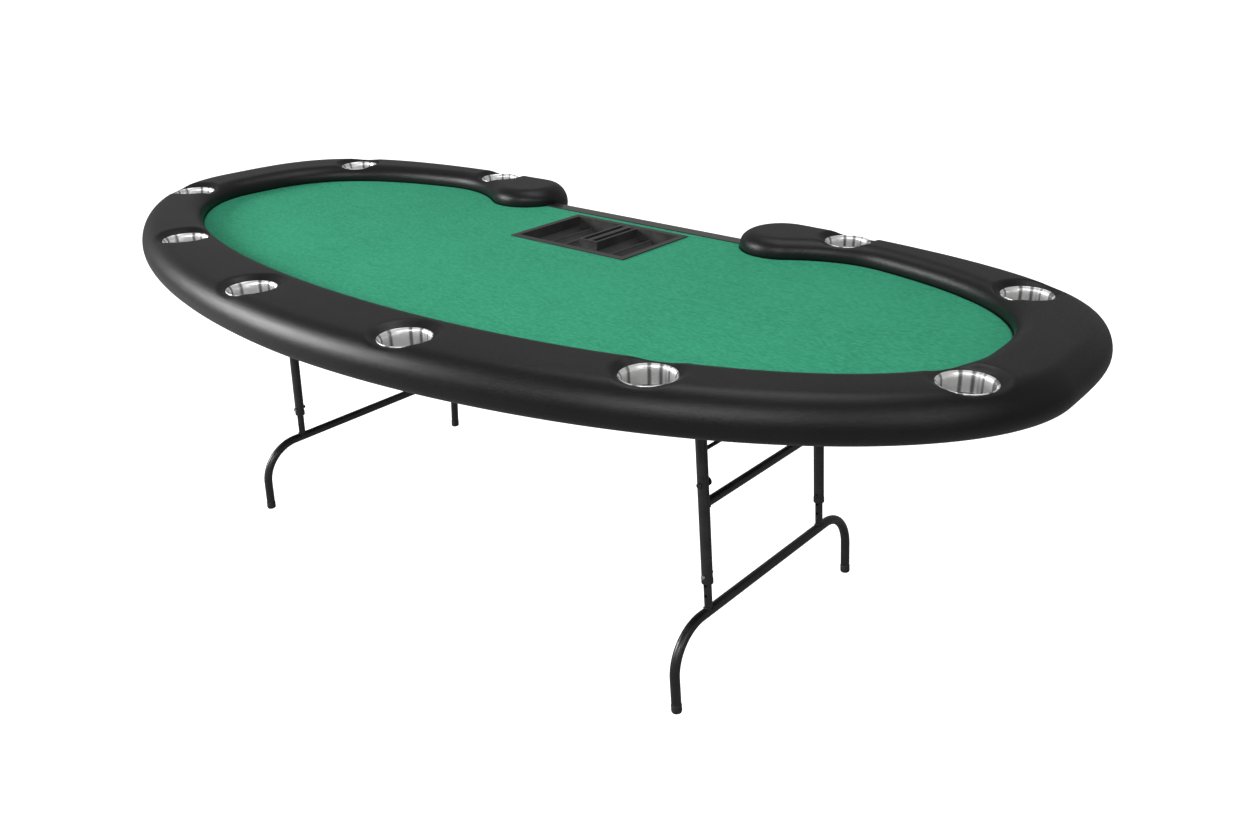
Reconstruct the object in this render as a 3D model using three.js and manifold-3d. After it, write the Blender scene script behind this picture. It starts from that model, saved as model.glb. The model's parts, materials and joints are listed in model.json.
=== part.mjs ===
// Oval casino poker table on two folding leg sets, in millimetres with +Z up.
// Players sit round the front (-Y) and both ends, and the dealer sits at the open back (+Y).
// The origin is on the floor, under the middle of the table's outline.
import * as THREE from "three";
import { mergeVertices } from "three/addons/utils/BufferGeometryUtils.js";
import Module from "manifold-3d";

const wasm = await Module();
wasm.setup();

// ---- Driving dimensions -------------------------------------------------------------------

// Clearances
const REST_GAP = 0.3; // between two pieces that rest on each other
const SEAT_GAP = 0.8; // round a piece that drops into a hole
const MERGE = 1e-4; // vertices this close are one vertex
const OVERSHOOT = 1; // by how much a cutter or a joined piece runs past a face

// Heights above the floor
const RAIL_TOP = 735;
const RAIL_BOTTOM = 652;
const FELT_TOP = 695;

// Plan of the table: a power of 2 is an ellipse, and a higher one is squarer
const OUTER = { half: 1200, front: 624, back: 520, frontPower: 1.88, backPower: 3.5 };
const RAIL_WIDTH = { end: 150, front: 184, back: 95 };
const INNER = {
  half: OUTER.half - RAIL_WIDTH.end,
  front: OUTER.front - RAIL_WIDTH.front,
  back: OUTER.back - RAIL_WIDTH.back,
  frontPower: 2,
  backPower: 3,
};
const OVAL_STEPS = 72;

// Padded rail
const RAIL_SHOULDER = 42;
const RAIL_SHOULDER_RINGS = 2;
const SKIRT = 20; // foam and vinyl outside the edge of the deck
const RAIL_END_X = 393;
const RAIL_END_RADIUS = 98;
const RAIL_END_STEPS = 12;
const FLARE_ANGLE = THREE.MathUtils.degToRad(35); // where the round end turns into the inner wall
const FLARE_LENGTH = 200;

// Deck, playing surface and rail core
const DECK_THICK = 18;
const FOAM_THICK = 5;
const CORE_THICK = 18;
const CORE_COVER = 16; // padding over the inner edge of the core
const FELT_GAP = 1;
const DECK_NOTCH_X = 345;
const FELT_BACK_Y = 380;
const DECK_BACK_Y = 408;
const TRIM_RISE = 2.5;
const TRIM_THICK = 7;
const TRIM_DROP = 22;
const TRIM_BEAD = 3;
const TRIM_BEAD_STEPS = 4;
const TRIM_END_SIDES = 48;

// Cup holders: turn round the oval in degrees, and place across the rail from inner to outer wall
const CUP_PLACES = [
  { turn: 72.0, across: 0.41 },
  { turn: 34.7, across: 0.416 },
  { turn: -15.9, across: 0.476 },
  { turn: -52.5, across: 0.434 },
  { turn: -77.7, across: 0.562 },
];
const CUP_RIM_Z = 725.6;
const CUP_DEPTH = 70;
const CUP_BODY_RADIUS = 45;
const CUP_RIM_WIDTH = 4.5;
const CUP_WALL = 1.4;
const CUP_FLOOR_ROUND = 5;
const CUP_SIDES = 16;
const DIP_REACH = 14.5; // padding that falls away past a rim

// Chip tray
const TRAY_LENGTH = 340;
const TRAY_WIDTH = 235;
const TRAY_Y = 241;
const TRAY_FLANGE = 2.5;
const TRAY_LEDGE = 12; // flange past the tub
const TRAY_WALL = 3;
const TRAY_DEPTH = 35;
const CHIP_RADIUS = 20.4;
const CHANNELS_PER_WELL = 3;
const CHANNEL_SIDES = 20;
const RIDGE_RISE = 12;
const CARD_BOX_WIDTH = 56;
const CARD_BOX_LENGTH = 142;
const CARD_BOX_DROP = 3;
const CARD_SLOT_WIDTH = 14;
const CARD_SLOT_DEPTH = 26;

// Leg sets, measured from the hinge axis down the leg
const HINGE_X = 614;
const HINGE_Z = 655;
const SPLAY = THREE.MathUtils.degToRad(3.58);
const LEG_Y = 203;
const LEG_RADIUS = 11;
const LEG_BORE = 8.6;
const LEG_HEAD = 7; // tube above the hinge axis
const SLEEVE_LENGTH = 431;
const CROSSBAR_DROP = 265;
const CROSSBAR_RADIUS = 9;
const SLIDE_RADIUS = 8;
const SLIDE_OVERLAP = 120; // inner tube inside the sleeve
const FOOT_BAR_DROP = 493;
const FOOT_BAR_RADIUS = 10;
const FOOT_Y = 317;
const FOOT_BEND = 90;
const FOOT_STEPS = 32;
const ADJUST_HOLES = 3; // the highest one is at the height pin
const ADJUST_PITCH = 22;
const ADJUST_HOLE_RADIUS = 3.2;
const ADJUST_HOLE_SIDES = 8;
const FOOT_CAP_HEIGHT = 18;
const FOOT_CAP_RADIUS = 10.8;
const FOOT_CAP_ROUND = 2.5;
const TUBE_SIDES = 12;

// Leg hinges
const HINGE_ROD_RADIUS = 4;
const HINGE_ROD_OVERHANG = 22;
const ROD_CLEARANCE = 0.45;
const BRACKET_LENGTH = 70;
const BRACKET_WIDTH = 60;
const BRACKET_THICK = 2.5;
const EAR_RADIUS = 9;
const EAR_GAP = 13; // from the middle of the leg to the inside of an ear

// Height pins
const PIN_ABOVE_SLEEVE_END = 18;
const PIN_RADIUS = 3;
const PIN_HEAD_RADIUS = 4.5;
const PIN_HEAD_LENGTH = 5;

// Folding braces
const BRACE_PIVOT_DROP = 223;
const BRACE_BRACKET_X = 478;
const BRACE_FOLD_OFFSET = 86; // by how much the lower link is longer than the upper one
const BRACE_BAR_WIDTH = 14;
const BRACE_BAR_THICK = 3;
const BRACE_SIDE_GAP = 1.4; // between a leg and the arm beside it
const BRACE_KNEE_Y = 100;
const BRACE_ROD_SHARE = 0.3; // of the way up the lower link
const BRACE_ROD_RADIUS = 4;
const ARM_BEND_SHARE = 0.1; // of the lower link, straight beside the leg before it turns inwards
const BRACE_EYE_RADIUS = 9;
const BRACE_UPPER_Y = 84;
const BRACE_TIE_SHARE = 0.45; // of the way down the upper link
const BRACE_PLATE_HALF = 17.5;
const KNEE_PIN_HEAD = 3;
const KNEE_CLEARANCE = 0.8; // from the end of a knee pin to the bar beside it
const PIVOT_RADIUS = 3.5;
const PIVOT_HEAD_RADIUS = 6;
const PIVOT_HEAD_LENGTH = 3;
const PIVOT_CHAMFER = 1;
const PIVOT_NUT_LENGTH = 9;

// ---- Sizes that follow ---------------------------------------------------------------------

const DECK_TOP = FELT_TOP - FOAM_THICK;
const DECK_BOTTOM = DECK_TOP - DECK_THICK;
const CUP_RIM_RADIUS = CUP_BODY_RADIUS + CUP_RIM_WIDTH;
const DIP_RADIUS = CUP_RIM_RADIUS + DIP_REACH;
const SLIDE_TOP_DROP = SLEEVE_LENGTH - SLIDE_OVERLAP;
const FLOOR_DROP = HINGE_Z / Math.cos(SPLAY);
const PIN_DROP = SLEEVE_LENGTH - PIN_ABOVE_SLEEVE_END;
const BRACE_PIVOT = {
  x: HINGE_X + BRACE_PIVOT_DROP * Math.sin(SPLAY),
  z: HINGE_Z - BRACE_PIVOT_DROP * Math.cos(SPLAY),
};
const BRACE_RUN = BRACE_PIVOT.x - BRACE_BRACKET_X;
const BRACE_RISE = HINGE_Z - BRACE_PIVOT.z;
const BRACE_STRAIGHT = Math.hypot(BRACE_RUN, BRACE_RISE);
const BRACE_LOWER = (BRACE_STRAIGHT + BRACE_FOLD_OFFSET) / 2;
const BRACE_LUG_Y = LEG_Y - LEG_RADIUS - BRACE_SIDE_GAP - BRACE_BAR_THICK / 2;

// ---- Finishes ------------------------------------------------------------------------------

function finish(color, roughness, metalness) {
  return new THREE.MeshStandardMaterial({ color, roughness, metalness });
}
const PLYWOOD = finish(0x2b2622, 0.8, 0);
const FELT = finish(0x2f8a63, 0.95, 0);
const VINYL = finish(0x1d1d1e, 0.45, 0);
const STEEL = finish(0xc9ccce, 0.3, 1);
const MOULDED = finish(0x242526, 0.5, 0);
const POWDER_COAT = finish(0x1b1b1c, 0.5, 0.3);
const ZINC = finish(0x9a9c9e, 0.4, 1);
const RUBBER = finish(0x202020, 0.8, 0);

// ---- Solids --------------------------------------------------------------------------------

function solid(geometry) {
  const bare = geometry.clone();
  bare.deleteAttribute("normal");
  bare.deleteAttribute("uv");
  const merged = mergeVertices(bare, MERGE);
  const vertProperties = new Float32Array(merged.attributes.position.array);
  const triVerts = new Uint32Array(merged.index.array);
  return new wasm.Manifold(new wasm.Mesh({ numProp: 3, vertProperties, triVerts }));
}

function joined(pieces) {
  return pieces.reduce((whole, piece) => whole.add(piece));
}

function cut(whole, cutters) {
  return cutters.reduce((rest, cutter) => rest.subtract(cutter), whole);
}

function geometryOf(body) {
  const faces = body.getMesh();
  const geometry = new THREE.BufferGeometry();
  geometry.setAttribute("position", new THREE.BufferAttribute(faces.vertProperties, 3));
  geometry.setIndex(new THREE.BufferAttribute(faces.triVerts, 1));
  geometry.computeVertexNormals();
  return geometry;
}

function named(name, body, material) {
  const geometry = body.isBufferGeometry ? body : geometryOf(body);
  const mesh = new THREE.Mesh(geometry, material);
  mesh.name = name;
  return mesh;
}

function box(low, high) {
  const size = high.map((value, axis) => value - low[axis]);
  const middle = high.map((value, axis) => (value + low[axis]) / 2);
  return solid(new THREE.BoxGeometry(...size).translate(...middle));
}

function rodAlongZ(radius, low, high, x, y, sides = TUBE_SIDES) {
  const rod = new THREE.CylinderGeometry(radius, radius, high - low, sides);
  return solid(rod.rotateX(Math.PI / 2).translate(x, y, (low + high) / 2));
}

function rodAlongY(radius, low, high, x, z, sides = TUBE_SIDES) {
  const rod = new THREE.CylinderGeometry(radius, radius, high - low, sides);
  return solid(rod.translate(x, (low + high) / 2, z));
}

function shapeOf(points) {
  return new THREE.Shape(points.map(([x, y]) => new THREE.Vector2(x, y)));
}

function prism(points, low, high) {
  const options = { depth: high - low, bevelEnabled: false };
  return solid(new THREE.ExtrudeGeometry(shapeOf(points), options).translate(0, 0, low));
}

// ---- Outlines ------------------------------------------------------------------------------

function ovalPoint(oval, turn) {
  const across = Math.cos(turn);
  const along = Math.sin(turn);
  const depth = along < 0 ? -oval.front : oval.back;
  const squareness = 2 / (along < 0 ? oval.frontPower : oval.backPower);
  const x = oval.half * Math.sign(across) * Math.abs(across) ** squareness;
  return [x, depth * Math.abs(along) ** squareness];
}

function ovalTurnAt(oval, x) {
  return Math.acos((x / oval.half) ** (oval.backPower / 2));
}

function grown(oval, by) {
  return { ...oval, half: oval.half + by, front: oval.front + by, back: oval.back + by };
}

function sweep(from, to, steps, pointAt) {
  return Array.from({ length: steps + 1 }, (_, step) => pointAt(from + ((to - from) * step) / steps));
}

const RAIL_BACK_Y = ovalPoint(OUTER, ovalTurnAt(OUTER, RAIL_END_X))[1];
const RAIL_END_Y = RAIL_BACK_Y - RAIL_END_RADIUS;

// The round end of the rail, on the left (side -1) or the right (side 1)
function railEndArc(side, radius, from, to) {
  const pointAt = (angle) => [
    side * (RAIL_END_X - radius * Math.cos(angle)),
    RAIL_END_Y + radius * Math.sin(angle),
  ];
  return sweep(from, to, RAIL_END_STEPS, pointAt);
}

// The inner wall of the rail from the left end round the front to the right end.
// Near each end it flares inwards to meet the round end.
function innerWall(inset) {
  const wall = grown(INNER, inset);
  const radius = RAIL_END_RADIUS - inset;
  const meetX = RAIL_END_X + radius * Math.sin(FLARE_ANGLE);
  const meetY = RAIL_END_Y - radius * Math.cos(FLARE_ANGLE);
  const meetTurn = ovalTurnAt(wall, meetX);
  const flare = ovalPoint(wall, meetTurn)[1] - meetY;
  const pointAt = (turn) => {
    const [x, y] = ovalPoint(wall, turn);
    const reach = (meetX + FLARE_LENGTH - Math.abs(x)) / FLARE_LENGTH;
    if (y < 0 || reach < 0) return [x, y];
    return [x, y - flare * reach * reach];
  };
  return sweep(Math.PI - meetTurn, 2 * Math.PI + meetTurn, OVAL_STEPS, pointAt);
}

// The whole rail in plan, drawn in by inset on every side
function railOutline(inset) {
  const edge = grown(OUTER, -inset);
  const radius = RAIL_END_RADIUS - inset;
  const startTurn = ovalTurnAt(edge, RAIL_END_X);
  const outside = sweep(startTurn, -Math.PI - startTurn, OVAL_STEPS, (turn) => ovalPoint(edge, turn));
  const under = -Math.PI / 2 - FLARE_ANGLE;
  const leftEnd = railEndArc(-1, radius, Math.PI / 2, under);
  const rightEnd = railEndArc(1, radius, under, Math.PI / 2);
  return [...outside.slice(0, -1), ...leftEnd.slice(0, -1), ...innerWall(inset), ...rightEnd.slice(1, -1)];
}

function deckOutline(clearance) {
  const edge = grown(OUTER, clearance - SKIRT);
  const notch = DECK_NOTCH_X - clearance;
  const startTurn = ovalTurnAt(edge, notch);
  const outside = sweep(startTurn, -Math.PI - startTurn, OVAL_STEPS, (turn) => ovalPoint(edge, turn));
  const back = DECK_BACK_Y + clearance;
  return [...outside, [-notch, back], [notch, back]];
}

function feltOutline() {
  const radius = RAIL_END_RADIUS + FELT_GAP;
  const level = Math.asin((FELT_BACK_Y - RAIL_END_Y) / radius);
  const under = -Math.PI / 2 - FLARE_ANGLE;
  const leftEnd = railEndArc(-1, radius, level, under);
  const rightEnd = railEndArc(1, radius, under, level);
  return [...leftEnd.slice(0, -1), ...innerWall(-FELT_GAP), ...rightEnd.slice(1)];
}

// ---- Cup holders ---------------------------------------------------------------------------

function cupCentre(place, side) {
  const turn = THREE.MathUtils.degToRad(place.turn);
  const inside = ovalPoint(INNER, turn);
  const outside = ovalPoint(OUTER, turn);
  const [x, y] = inside.map((value, axis) => value + (outside[axis] - value) * place.across);
  return [side * x, y];
}

const CUPS = [1, -1].flatMap((side) =>
  CUP_PLACES.map((place, index) => ({
    name: `cup_holder_${side > 0 ? "right" : "left"}_${index + 1}`,
    centre: cupCentre(place, side),
  })),
);

function cupHolder(cup) {
  const bottom = CUP_RIM_Z - CUP_DEPTH;
  const inside = CUP_BODY_RADIUS - CUP_WALL;
  const profile = [
    [0, bottom],
    [CUP_BODY_RADIUS - CUP_FLOOR_ROUND, bottom],
    [CUP_BODY_RADIUS, bottom + CUP_FLOOR_ROUND],
    [CUP_BODY_RADIUS, CUP_RIM_Z - CUP_WALL],
    [CUP_RIM_RADIUS, CUP_RIM_Z - CUP_WALL],
    [CUP_RIM_RADIUS, CUP_RIM_Z],
    [inside, CUP_RIM_Z],
    [inside, bottom + CUP_FLOOR_ROUND],
    [inside - CUP_FLOOR_ROUND, bottom + CUP_WALL],
    [0, bottom + CUP_WALL],
  ].map(([radius, height]) => new THREE.Vector2(radius, height));
  const shell = new THREE.LatheGeometry(profile, CUP_SIDES).rotateX(Math.PI / 2);
  return named(cup.name, solid(shell.translate(...cup.centre, 0)), STEEL);
}

function cupHole(cup, low, high) {
  return rodAlongZ(CUP_BODY_RADIUS + SEAT_GAP, low, high, ...cup.centre, CUP_SIDES);
}

// The padding falls away round each rim
function cupDip(cup) {
  const seat = CUP_RIM_Z - CUP_WALL - REST_GAP;
  const rise = RAIL_TOP + OVERSHOOT - seat;
  const dip = new THREE.CylinderGeometry(DIP_RADIUS, CUP_RIM_RADIUS + SEAT_GAP, rise, CUP_SIDES);
  return solid(dip.rotateX(Math.PI / 2).translate(...cup.centre, seat + rise / 2));
}

// ---- Table top -----------------------------------------------------------------------------

function trayCutter(clearance) {
  const halfLength = TRAY_LENGTH / 2 - TRAY_LEDGE + clearance;
  const halfWidth = TRAY_WIDTH / 2 - TRAY_LEDGE + clearance;
  return box(
    [-halfLength, TRAY_Y - halfWidth, DECK_BOTTOM - OVERSHOOT],
    [halfLength, TRAY_Y + halfWidth, FELT_TOP + OVERSHOOT],
  );
}

function deckPanel() {
  const holes = CUPS.map((cup) => cupHole(cup, DECK_BOTTOM - OVERSHOOT, DECK_TOP + OVERSHOOT));
  const board = prism(deckOutline(0), DECK_BOTTOM, DECK_TOP);
  return named("deck_panel", cut(board, [trayCutter(SEAT_GAP), ...holes]), PLYWOOD);
}

function playingSurface() {
  const sheet = prism(feltOutline(), DECK_TOP + REST_GAP, FELT_TOP);
  return named("playing_surface", cut(sheet, [trayCutter(SEAT_GAP)]), FELT);
}

function railCore() {
  const low = DECK_TOP + REST_GAP;
  const high = low + CORE_THICK;
  const holes = CUPS.map((cup) => cupHole(cup, low - OVERSHOOT, high + OVERSHOOT));
  const board = prism(railOutline(CORE_COVER), low, high);
  return named("rail_core", cut(board, holes), PLYWOOD);
}

function railPadding() {
  const options = {
    depth: RAIL_TOP - RAIL_BOTTOM,
    bevelSize: RAIL_SHOULDER,
    bevelOffset: -RAIL_SHOULDER,
    bevelThickness: RAIL_SHOULDER,
    bevelSegments: RAIL_SHOULDER_RINGS,
  };
  const slab = new THREE.ExtrudeGeometry(shapeOf(railOutline(0)), options);
  const roll = solid(slab.translate(0, 0, RAIL_BOTTOM - RAIL_SHOULDER));
  const belowRail = box(
    [-OUTER.half, -OUTER.front, RAIL_BOTTOM - 2 * RAIL_SHOULDER],
    [OUTER.half, OUTER.back, RAIL_BOTTOM],
  );
  const deckPocket = prism(deckOutline(SEAT_GAP), RAIL_BOTTOM - OVERSHOOT, DECK_TOP + REST_GAP);
  const coreTop = DECK_TOP + CORE_THICK + 2 * REST_GAP;
  const corePocket = prism(railOutline(CORE_COVER - SEAT_GAP), RAIL_BOTTOM, coreTop);
  const holes = CUPS.map((cup) => cupHole(cup, RAIL_BOTTOM - OVERSHOOT, RAIL_TOP));
  const cutters = [belowRail, deckPocket, corePocket, ...holes, ...CUPS.map(cupDip)];
  return named("rail_padding", cut(roll, cutters), VINYL);
}

// An edging strip along the dealer's side: its top lies on the deck and its skirt covers the edge
function dealerEdgeTrim() {
  const top = FELT_TOP + TRIM_RISE;
  const near = FELT_BACK_Y + REST_GAP;
  const under = DECK_TOP + REST_GAP;
  const inside = DECK_BACK_Y + REST_GAP;
  const far = inside + TRIM_THICK;
  const low = DECK_TOP - TRIM_DROP;
  const profile = new THREE.Shape();
  profile.moveTo(near, under);
  profile.lineTo(inside, under);
  profile.lineTo(inside, low);
  profile.lineTo(far, low);
  profile.lineTo(far, top - TRIM_BEAD);
  profile.absarc(far - TRIM_BEAD, top - TRIM_BEAD, TRIM_BEAD, 0, Math.PI / 2);
  profile.lineTo(near, top);
  const length = 2 * RAIL_END_X;
  const options = { depth: length, bevelEnabled: false, curveSegments: TRIM_BEAD_STEPS };
  const bar = new THREE.ExtrudeGeometry(profile, options);
  const facingY = new THREE.Matrix4().set(0, 0, 1, -length / 2, 1, 0, 0, 0, 0, 1, 0, 0, 0, 0, 0, 1);
  const ends = [1, -1].map((side) => {
    const radius = RAIL_END_RADIUS + FELT_GAP;
    return rodAlongZ(radius, RAIL_BOTTOM, RAIL_TOP, side * RAIL_END_X, RAIL_END_Y, TRIM_END_SIDES);
  });
  const behindEnds = [1, -1].map((side) => {
    const nearX = side * (RAIL_END_X - RAIL_END_RADIUS / 2);
    const farX = side * (RAIL_END_X + RAIL_END_RADIUS);
    return box(
      [Math.min(nearX, farX), near - OVERSHOOT, RAIL_BOTTOM],
      [Math.max(nearX, farX), far + OVERSHOOT, RAIL_TOP],
    );
  });
  return named("dealer_edge_trim", cut(solid(bar.applyMatrix4(facingY)), [...ends, ...behindEnds]), VINYL);
}

// ---- Chip tray -----------------------------------------------------------------------------

// A row of round-bottomed chip channels running front to back, on one side of the card box
function chipWell(side, floor, top) {
  const halfRun = TRAY_WIDTH / 2 - TRAY_LEDGE - TRAY_WALL;
  const near = CARD_BOX_WIDTH / 2;
  const far = TRAY_LENGTH / 2 - TRAY_LEDGE - TRAY_WALL;
  const pitch = (far - near) / CHANNELS_PER_WELL;
  const xs = [side * near, side * far].sort((a, b) => a - b);
  const above = box([xs[0], TRAY_Y - halfRun, floor + RIDGE_RISE], [xs[1], TRAY_Y + halfRun, top]);
  const channels = Array.from({ length: CHANNELS_PER_WELL }, (_, index) => {
    const x = side * (near + pitch * (index + 0.5));
    const rod = new THREE.CylinderGeometry(CHIP_RADIUS, CHIP_RADIUS, 2 * halfRun, CHANNEL_SIDES);
    return solid(rod.translate(x, TRAY_Y, floor + CHIP_RADIUS));
  });
  return joined([above, ...channels]);
}

function cardSlot(side, top) {
  const x = (side * CARD_BOX_WIDTH) / 4;
  const back = TRAY_Y + TRAY_WIDTH / 2 - TRAY_LEDGE - TRAY_WALL;
  const front = back - CARD_BOX_LENGTH + 2 * TRAY_WALL;
  return box(
    [x - CARD_SLOT_WIDTH / 2, front, top - CARD_SLOT_DEPTH],
    [x + CARD_SLOT_WIDTH / 2, back, top + OVERSHOOT],
  );
}

function chipTray() {
  const bottom = FELT_TOP + REST_GAP;
  const top = bottom + TRAY_FLANGE;
  const halfLength = TRAY_LENGTH / 2;
  const halfWidth = TRAY_WIDTH / 2;
  const floor = top - TRAY_DEPTH;
  const flange = box([-halfLength, TRAY_Y - halfWidth, bottom], [halfLength, TRAY_Y + halfWidth, top]);
  const tub = box(
    [-halfLength + TRAY_LEDGE, TRAY_Y - halfWidth + TRAY_LEDGE, floor - TRAY_WALL],
    [halfLength - TRAY_LEDGE, TRAY_Y + halfWidth - TRAY_LEDGE, bottom + OVERSHOOT],
  );
  const halfBox = CARD_BOX_WIDTH / 2;
  const back = TRAY_Y + halfWidth - TRAY_LEDGE - TRAY_WALL;
  const front = TRAY_Y - halfWidth + TRAY_LEDGE + TRAY_WALL;
  const boxTop = top - CARD_BOX_DROP;
  const aboveBox = box([-halfBox, front, boxTop], [halfBox, back, top + OVERSHOOT]);
  const beforeBox = box(
    [-halfBox - OVERSHOOT, front, floor + RIDGE_RISE],
    [halfBox + OVERSHOOT, back - CARD_BOX_LENGTH, top + OVERSHOOT],
  );
  const wells = [1, -1].map((side) => chipWell(side, floor, top + OVERSHOOT));
  const slots = [1, -1].map((side) => cardSlot(side, boxTop));
  const cutters = [...wells, aboveBox, beforeBox, ...slots];
  return named("chip_tray", cut(joined([flange, tub]), cutters), MOULDED);
}

// ---- Leg sets ------------------------------------------------------------------------------
// Each set is built for the right-hand end in a frame whose origin is the middle of its hinge axis.

function hingeBracket(name, y) {
  const top = DECK_BOTTOM - REST_GAP - HINGE_Z;
  const plate = box(
    [-BRACKET_LENGTH / 2, y - BRACKET_WIDTH / 2, top - BRACKET_THICK],
    [BRACKET_LENGTH / 2, y + BRACKET_WIDTH / 2, top],
  );
  const ears = [1, -1].flatMap((side) => {
    const edges = [y + side * EAR_GAP, y + side * (EAR_GAP + BRACKET_THICK)].sort((a, b) => a - b);
    const web = box([-EAR_RADIUS, edges[0], 0], [EAR_RADIUS, edges[1], top - OVERSHOOT]);
    return [web, rodAlongY(EAR_RADIUS, edges[0], edges[1], 0, 0)];
  });
  const rodHole = rodAlongY(HINGE_ROD_RADIUS + ROD_CLEARANCE, y - BRACKET_WIDTH, y + BRACKET_WIDTH, 0, 0);
  return named(name, cut(joined([plate, ...ears]), [rodHole]), POWDER_COAT);
}

function hingeRod(name) {
  const reach = LEG_Y + HINGE_ROD_OVERHANG;
  return named(name, rodAlongY(HINGE_ROD_RADIUS, -reach, reach, 0, 0), ZINC);
}

function legFrame(name) {
  const rails = [LEG_Y, -LEG_Y].map((y) => rodAlongZ(LEG_RADIUS, -SLEEVE_LENGTH, LEG_HEAD, 0, y));
  const crossbar = rodAlongY(CROSSBAR_RADIUS, -LEG_Y, LEG_Y, 0, -CROSSBAR_DROP);
  const innerNuts = [1, -1].map((side) => {
    const ends = [side * (LEG_Y - LEG_RADIUS + OVERSHOOT), side * (LEG_Y - LEG_RADIUS - PIN_HEAD_LENGTH)];
    ends.sort((a, b) => a - b);
    return rodAlongY(PIN_HEAD_RADIUS, ends[0], ends[1], 0, -PIN_DROP);
  });
  const bores = [LEG_Y, -LEG_Y].map((y) => {
    return rodAlongZ(LEG_BORE, -SLEEVE_LENGTH - OVERSHOOT, LEG_HEAD + OVERSHOOT, 0, y);
  });
  const reach = LEG_Y + 2 * LEG_RADIUS;
  const rodHole = rodAlongY(HINGE_ROD_RADIUS + ROD_CLEARANCE, -reach, reach, 0, 0);
  const pivotHole = rodAlongY(PIVOT_RADIUS + ROD_CLEARANCE, -reach, reach, 0, -BRACE_PIVOT_DROP);
  const pinHoles = [1, -1].map((side) => {
    const ends = [side * LEG_Y, side * reach].sort((a, b) => a - b);
    return rodAlongY(PIN_RADIUS + ROD_CLEARANCE, ends[0], ends[1], 0, -PIN_DROP);
  });
  const frame = joined([...rails, crossbar, ...innerNuts]);
  return named(name, cut(frame, [...bores, rodHole, pivotHole, ...pinHoles]), POWDER_COAT);
}

class FootPath extends THREE.Curve {
  // An upside-down U in the plane of the leg set, with round bends
  constructor(tipDrop) {
    super();
    this.upright = tipDrop - FOOT_BAR_DROP - FOOT_BEND;
    this.bend = (Math.PI / 2) * FOOT_BEND;
    this.halfBar = FOOT_Y - FOOT_BEND;
    this.tipDrop = tipDrop;
  }
  getPoint(share, target = new THREE.Vector3()) {
    const total = 2 * (this.upright + this.bend + this.halfBar);
    const side = share < 0.5 ? -1 : 1;
    const travel = total * Math.min(share, 1 - share);
    if (travel < this.upright) return target.set(0, side * FOOT_Y, travel - this.tipDrop);
    const turned = Math.min((travel - this.upright) / FOOT_BEND, Math.PI / 2);
    const along = Math.max(travel - this.upright - this.bend, 0);
    const y = this.halfBar + FOOT_BEND * Math.cos(turned) - along;
    const z = FOOT_BEND * Math.sin(turned) - FOOT_BAR_DROP - FOOT_BEND;
    return target.set(0, side * y, z);
  }
}

function footFrame(name) {
  const path = new FootPath(FLOOR_DROP - FOOT_CAP_HEIGHT - REST_GAP);
  const section = new THREE.Shape();
  section.absarc(0, 0, FOOT_BAR_RADIUS, 0, 2 * Math.PI);
  const options = { steps: FOOT_STEPS, extrudePath: path, curveSegments: TUBE_SIDES / 2 };
  const bar = solid(new THREE.ExtrudeGeometry(section, options));
  const slides = [LEG_Y, -LEG_Y].map((y) => rodAlongZ(SLIDE_RADIUS, -FOOT_BAR_DROP, -SLIDE_TOP_DROP, 0, y));
  const reach = LEG_Y + 2 * LEG_RADIUS;
  const holes = Array.from({ length: ADJUST_HOLES }, (_, index) => {
    const drop = PIN_DROP + ADJUST_PITCH * index;
    return rodAlongY(ADJUST_HOLE_RADIUS, -reach, reach, 0, -drop, ADJUST_HOLE_SIDES);
  });
  return named(name, cut(joined([bar, ...slides]), holes), POWDER_COAT);
}

// A rubber cap whose sole is cut level with the floor
function footCap(name, side) {
  const top = FOOT_CAP_HEIGHT - FLOOR_DROP;
  const bottom = -FLOOR_DROP - FOOT_CAP_RADIUS * Math.sin(SPLAY);
  const profile = [
    [0, bottom],
    [FOOT_CAP_RADIUS, bottom],
    [FOOT_CAP_RADIUS, top - FOOT_CAP_ROUND],
    [FOOT_CAP_RADIUS - FOOT_CAP_ROUND, top],
    [0, top],
  ].map(([radius, height]) => new THREE.Vector2(radius, height));
  const body = solid(new THREE.LatheGeometry(profile, TUBE_SIDES).rotateX(Math.PI / 2));
  const reach = HINGE_Z;
  const floor = new THREE.BoxGeometry(reach, reach, FOOT_CAP_HEIGHT);
  floor.translate(0, 0, -HINGE_Z - FOOT_CAP_HEIGHT / 2).rotateY(SPLAY);
  return named(name, cut(body, [solid(floor)]).translate([0, side * FOOT_Y, 0]), RUBBER);
}

// A spring pin whose tip stops just short of the sliding tube
function heightPin(name, side) {
  const spans = [
    [PIN_RADIUS, LEG_BORE + REST_GAP, LEG_RADIUS + OVERSHOOT],
    [PIN_HEAD_RADIUS, LEG_RADIUS + REST_GAP, LEG_RADIUS + PIN_HEAD_LENGTH],
  ];
  const parts = spans.map(([radius, from, to]) => {
    const ends = [side * (LEG_Y + from), side * (LEG_Y + to)].sort((a, b) => a - b);
    return rodAlongY(radius, ends[0], ends[1], 0, -PIN_DROP);
  });
  return named(name, joined(parts), ZINC);
}

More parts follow.
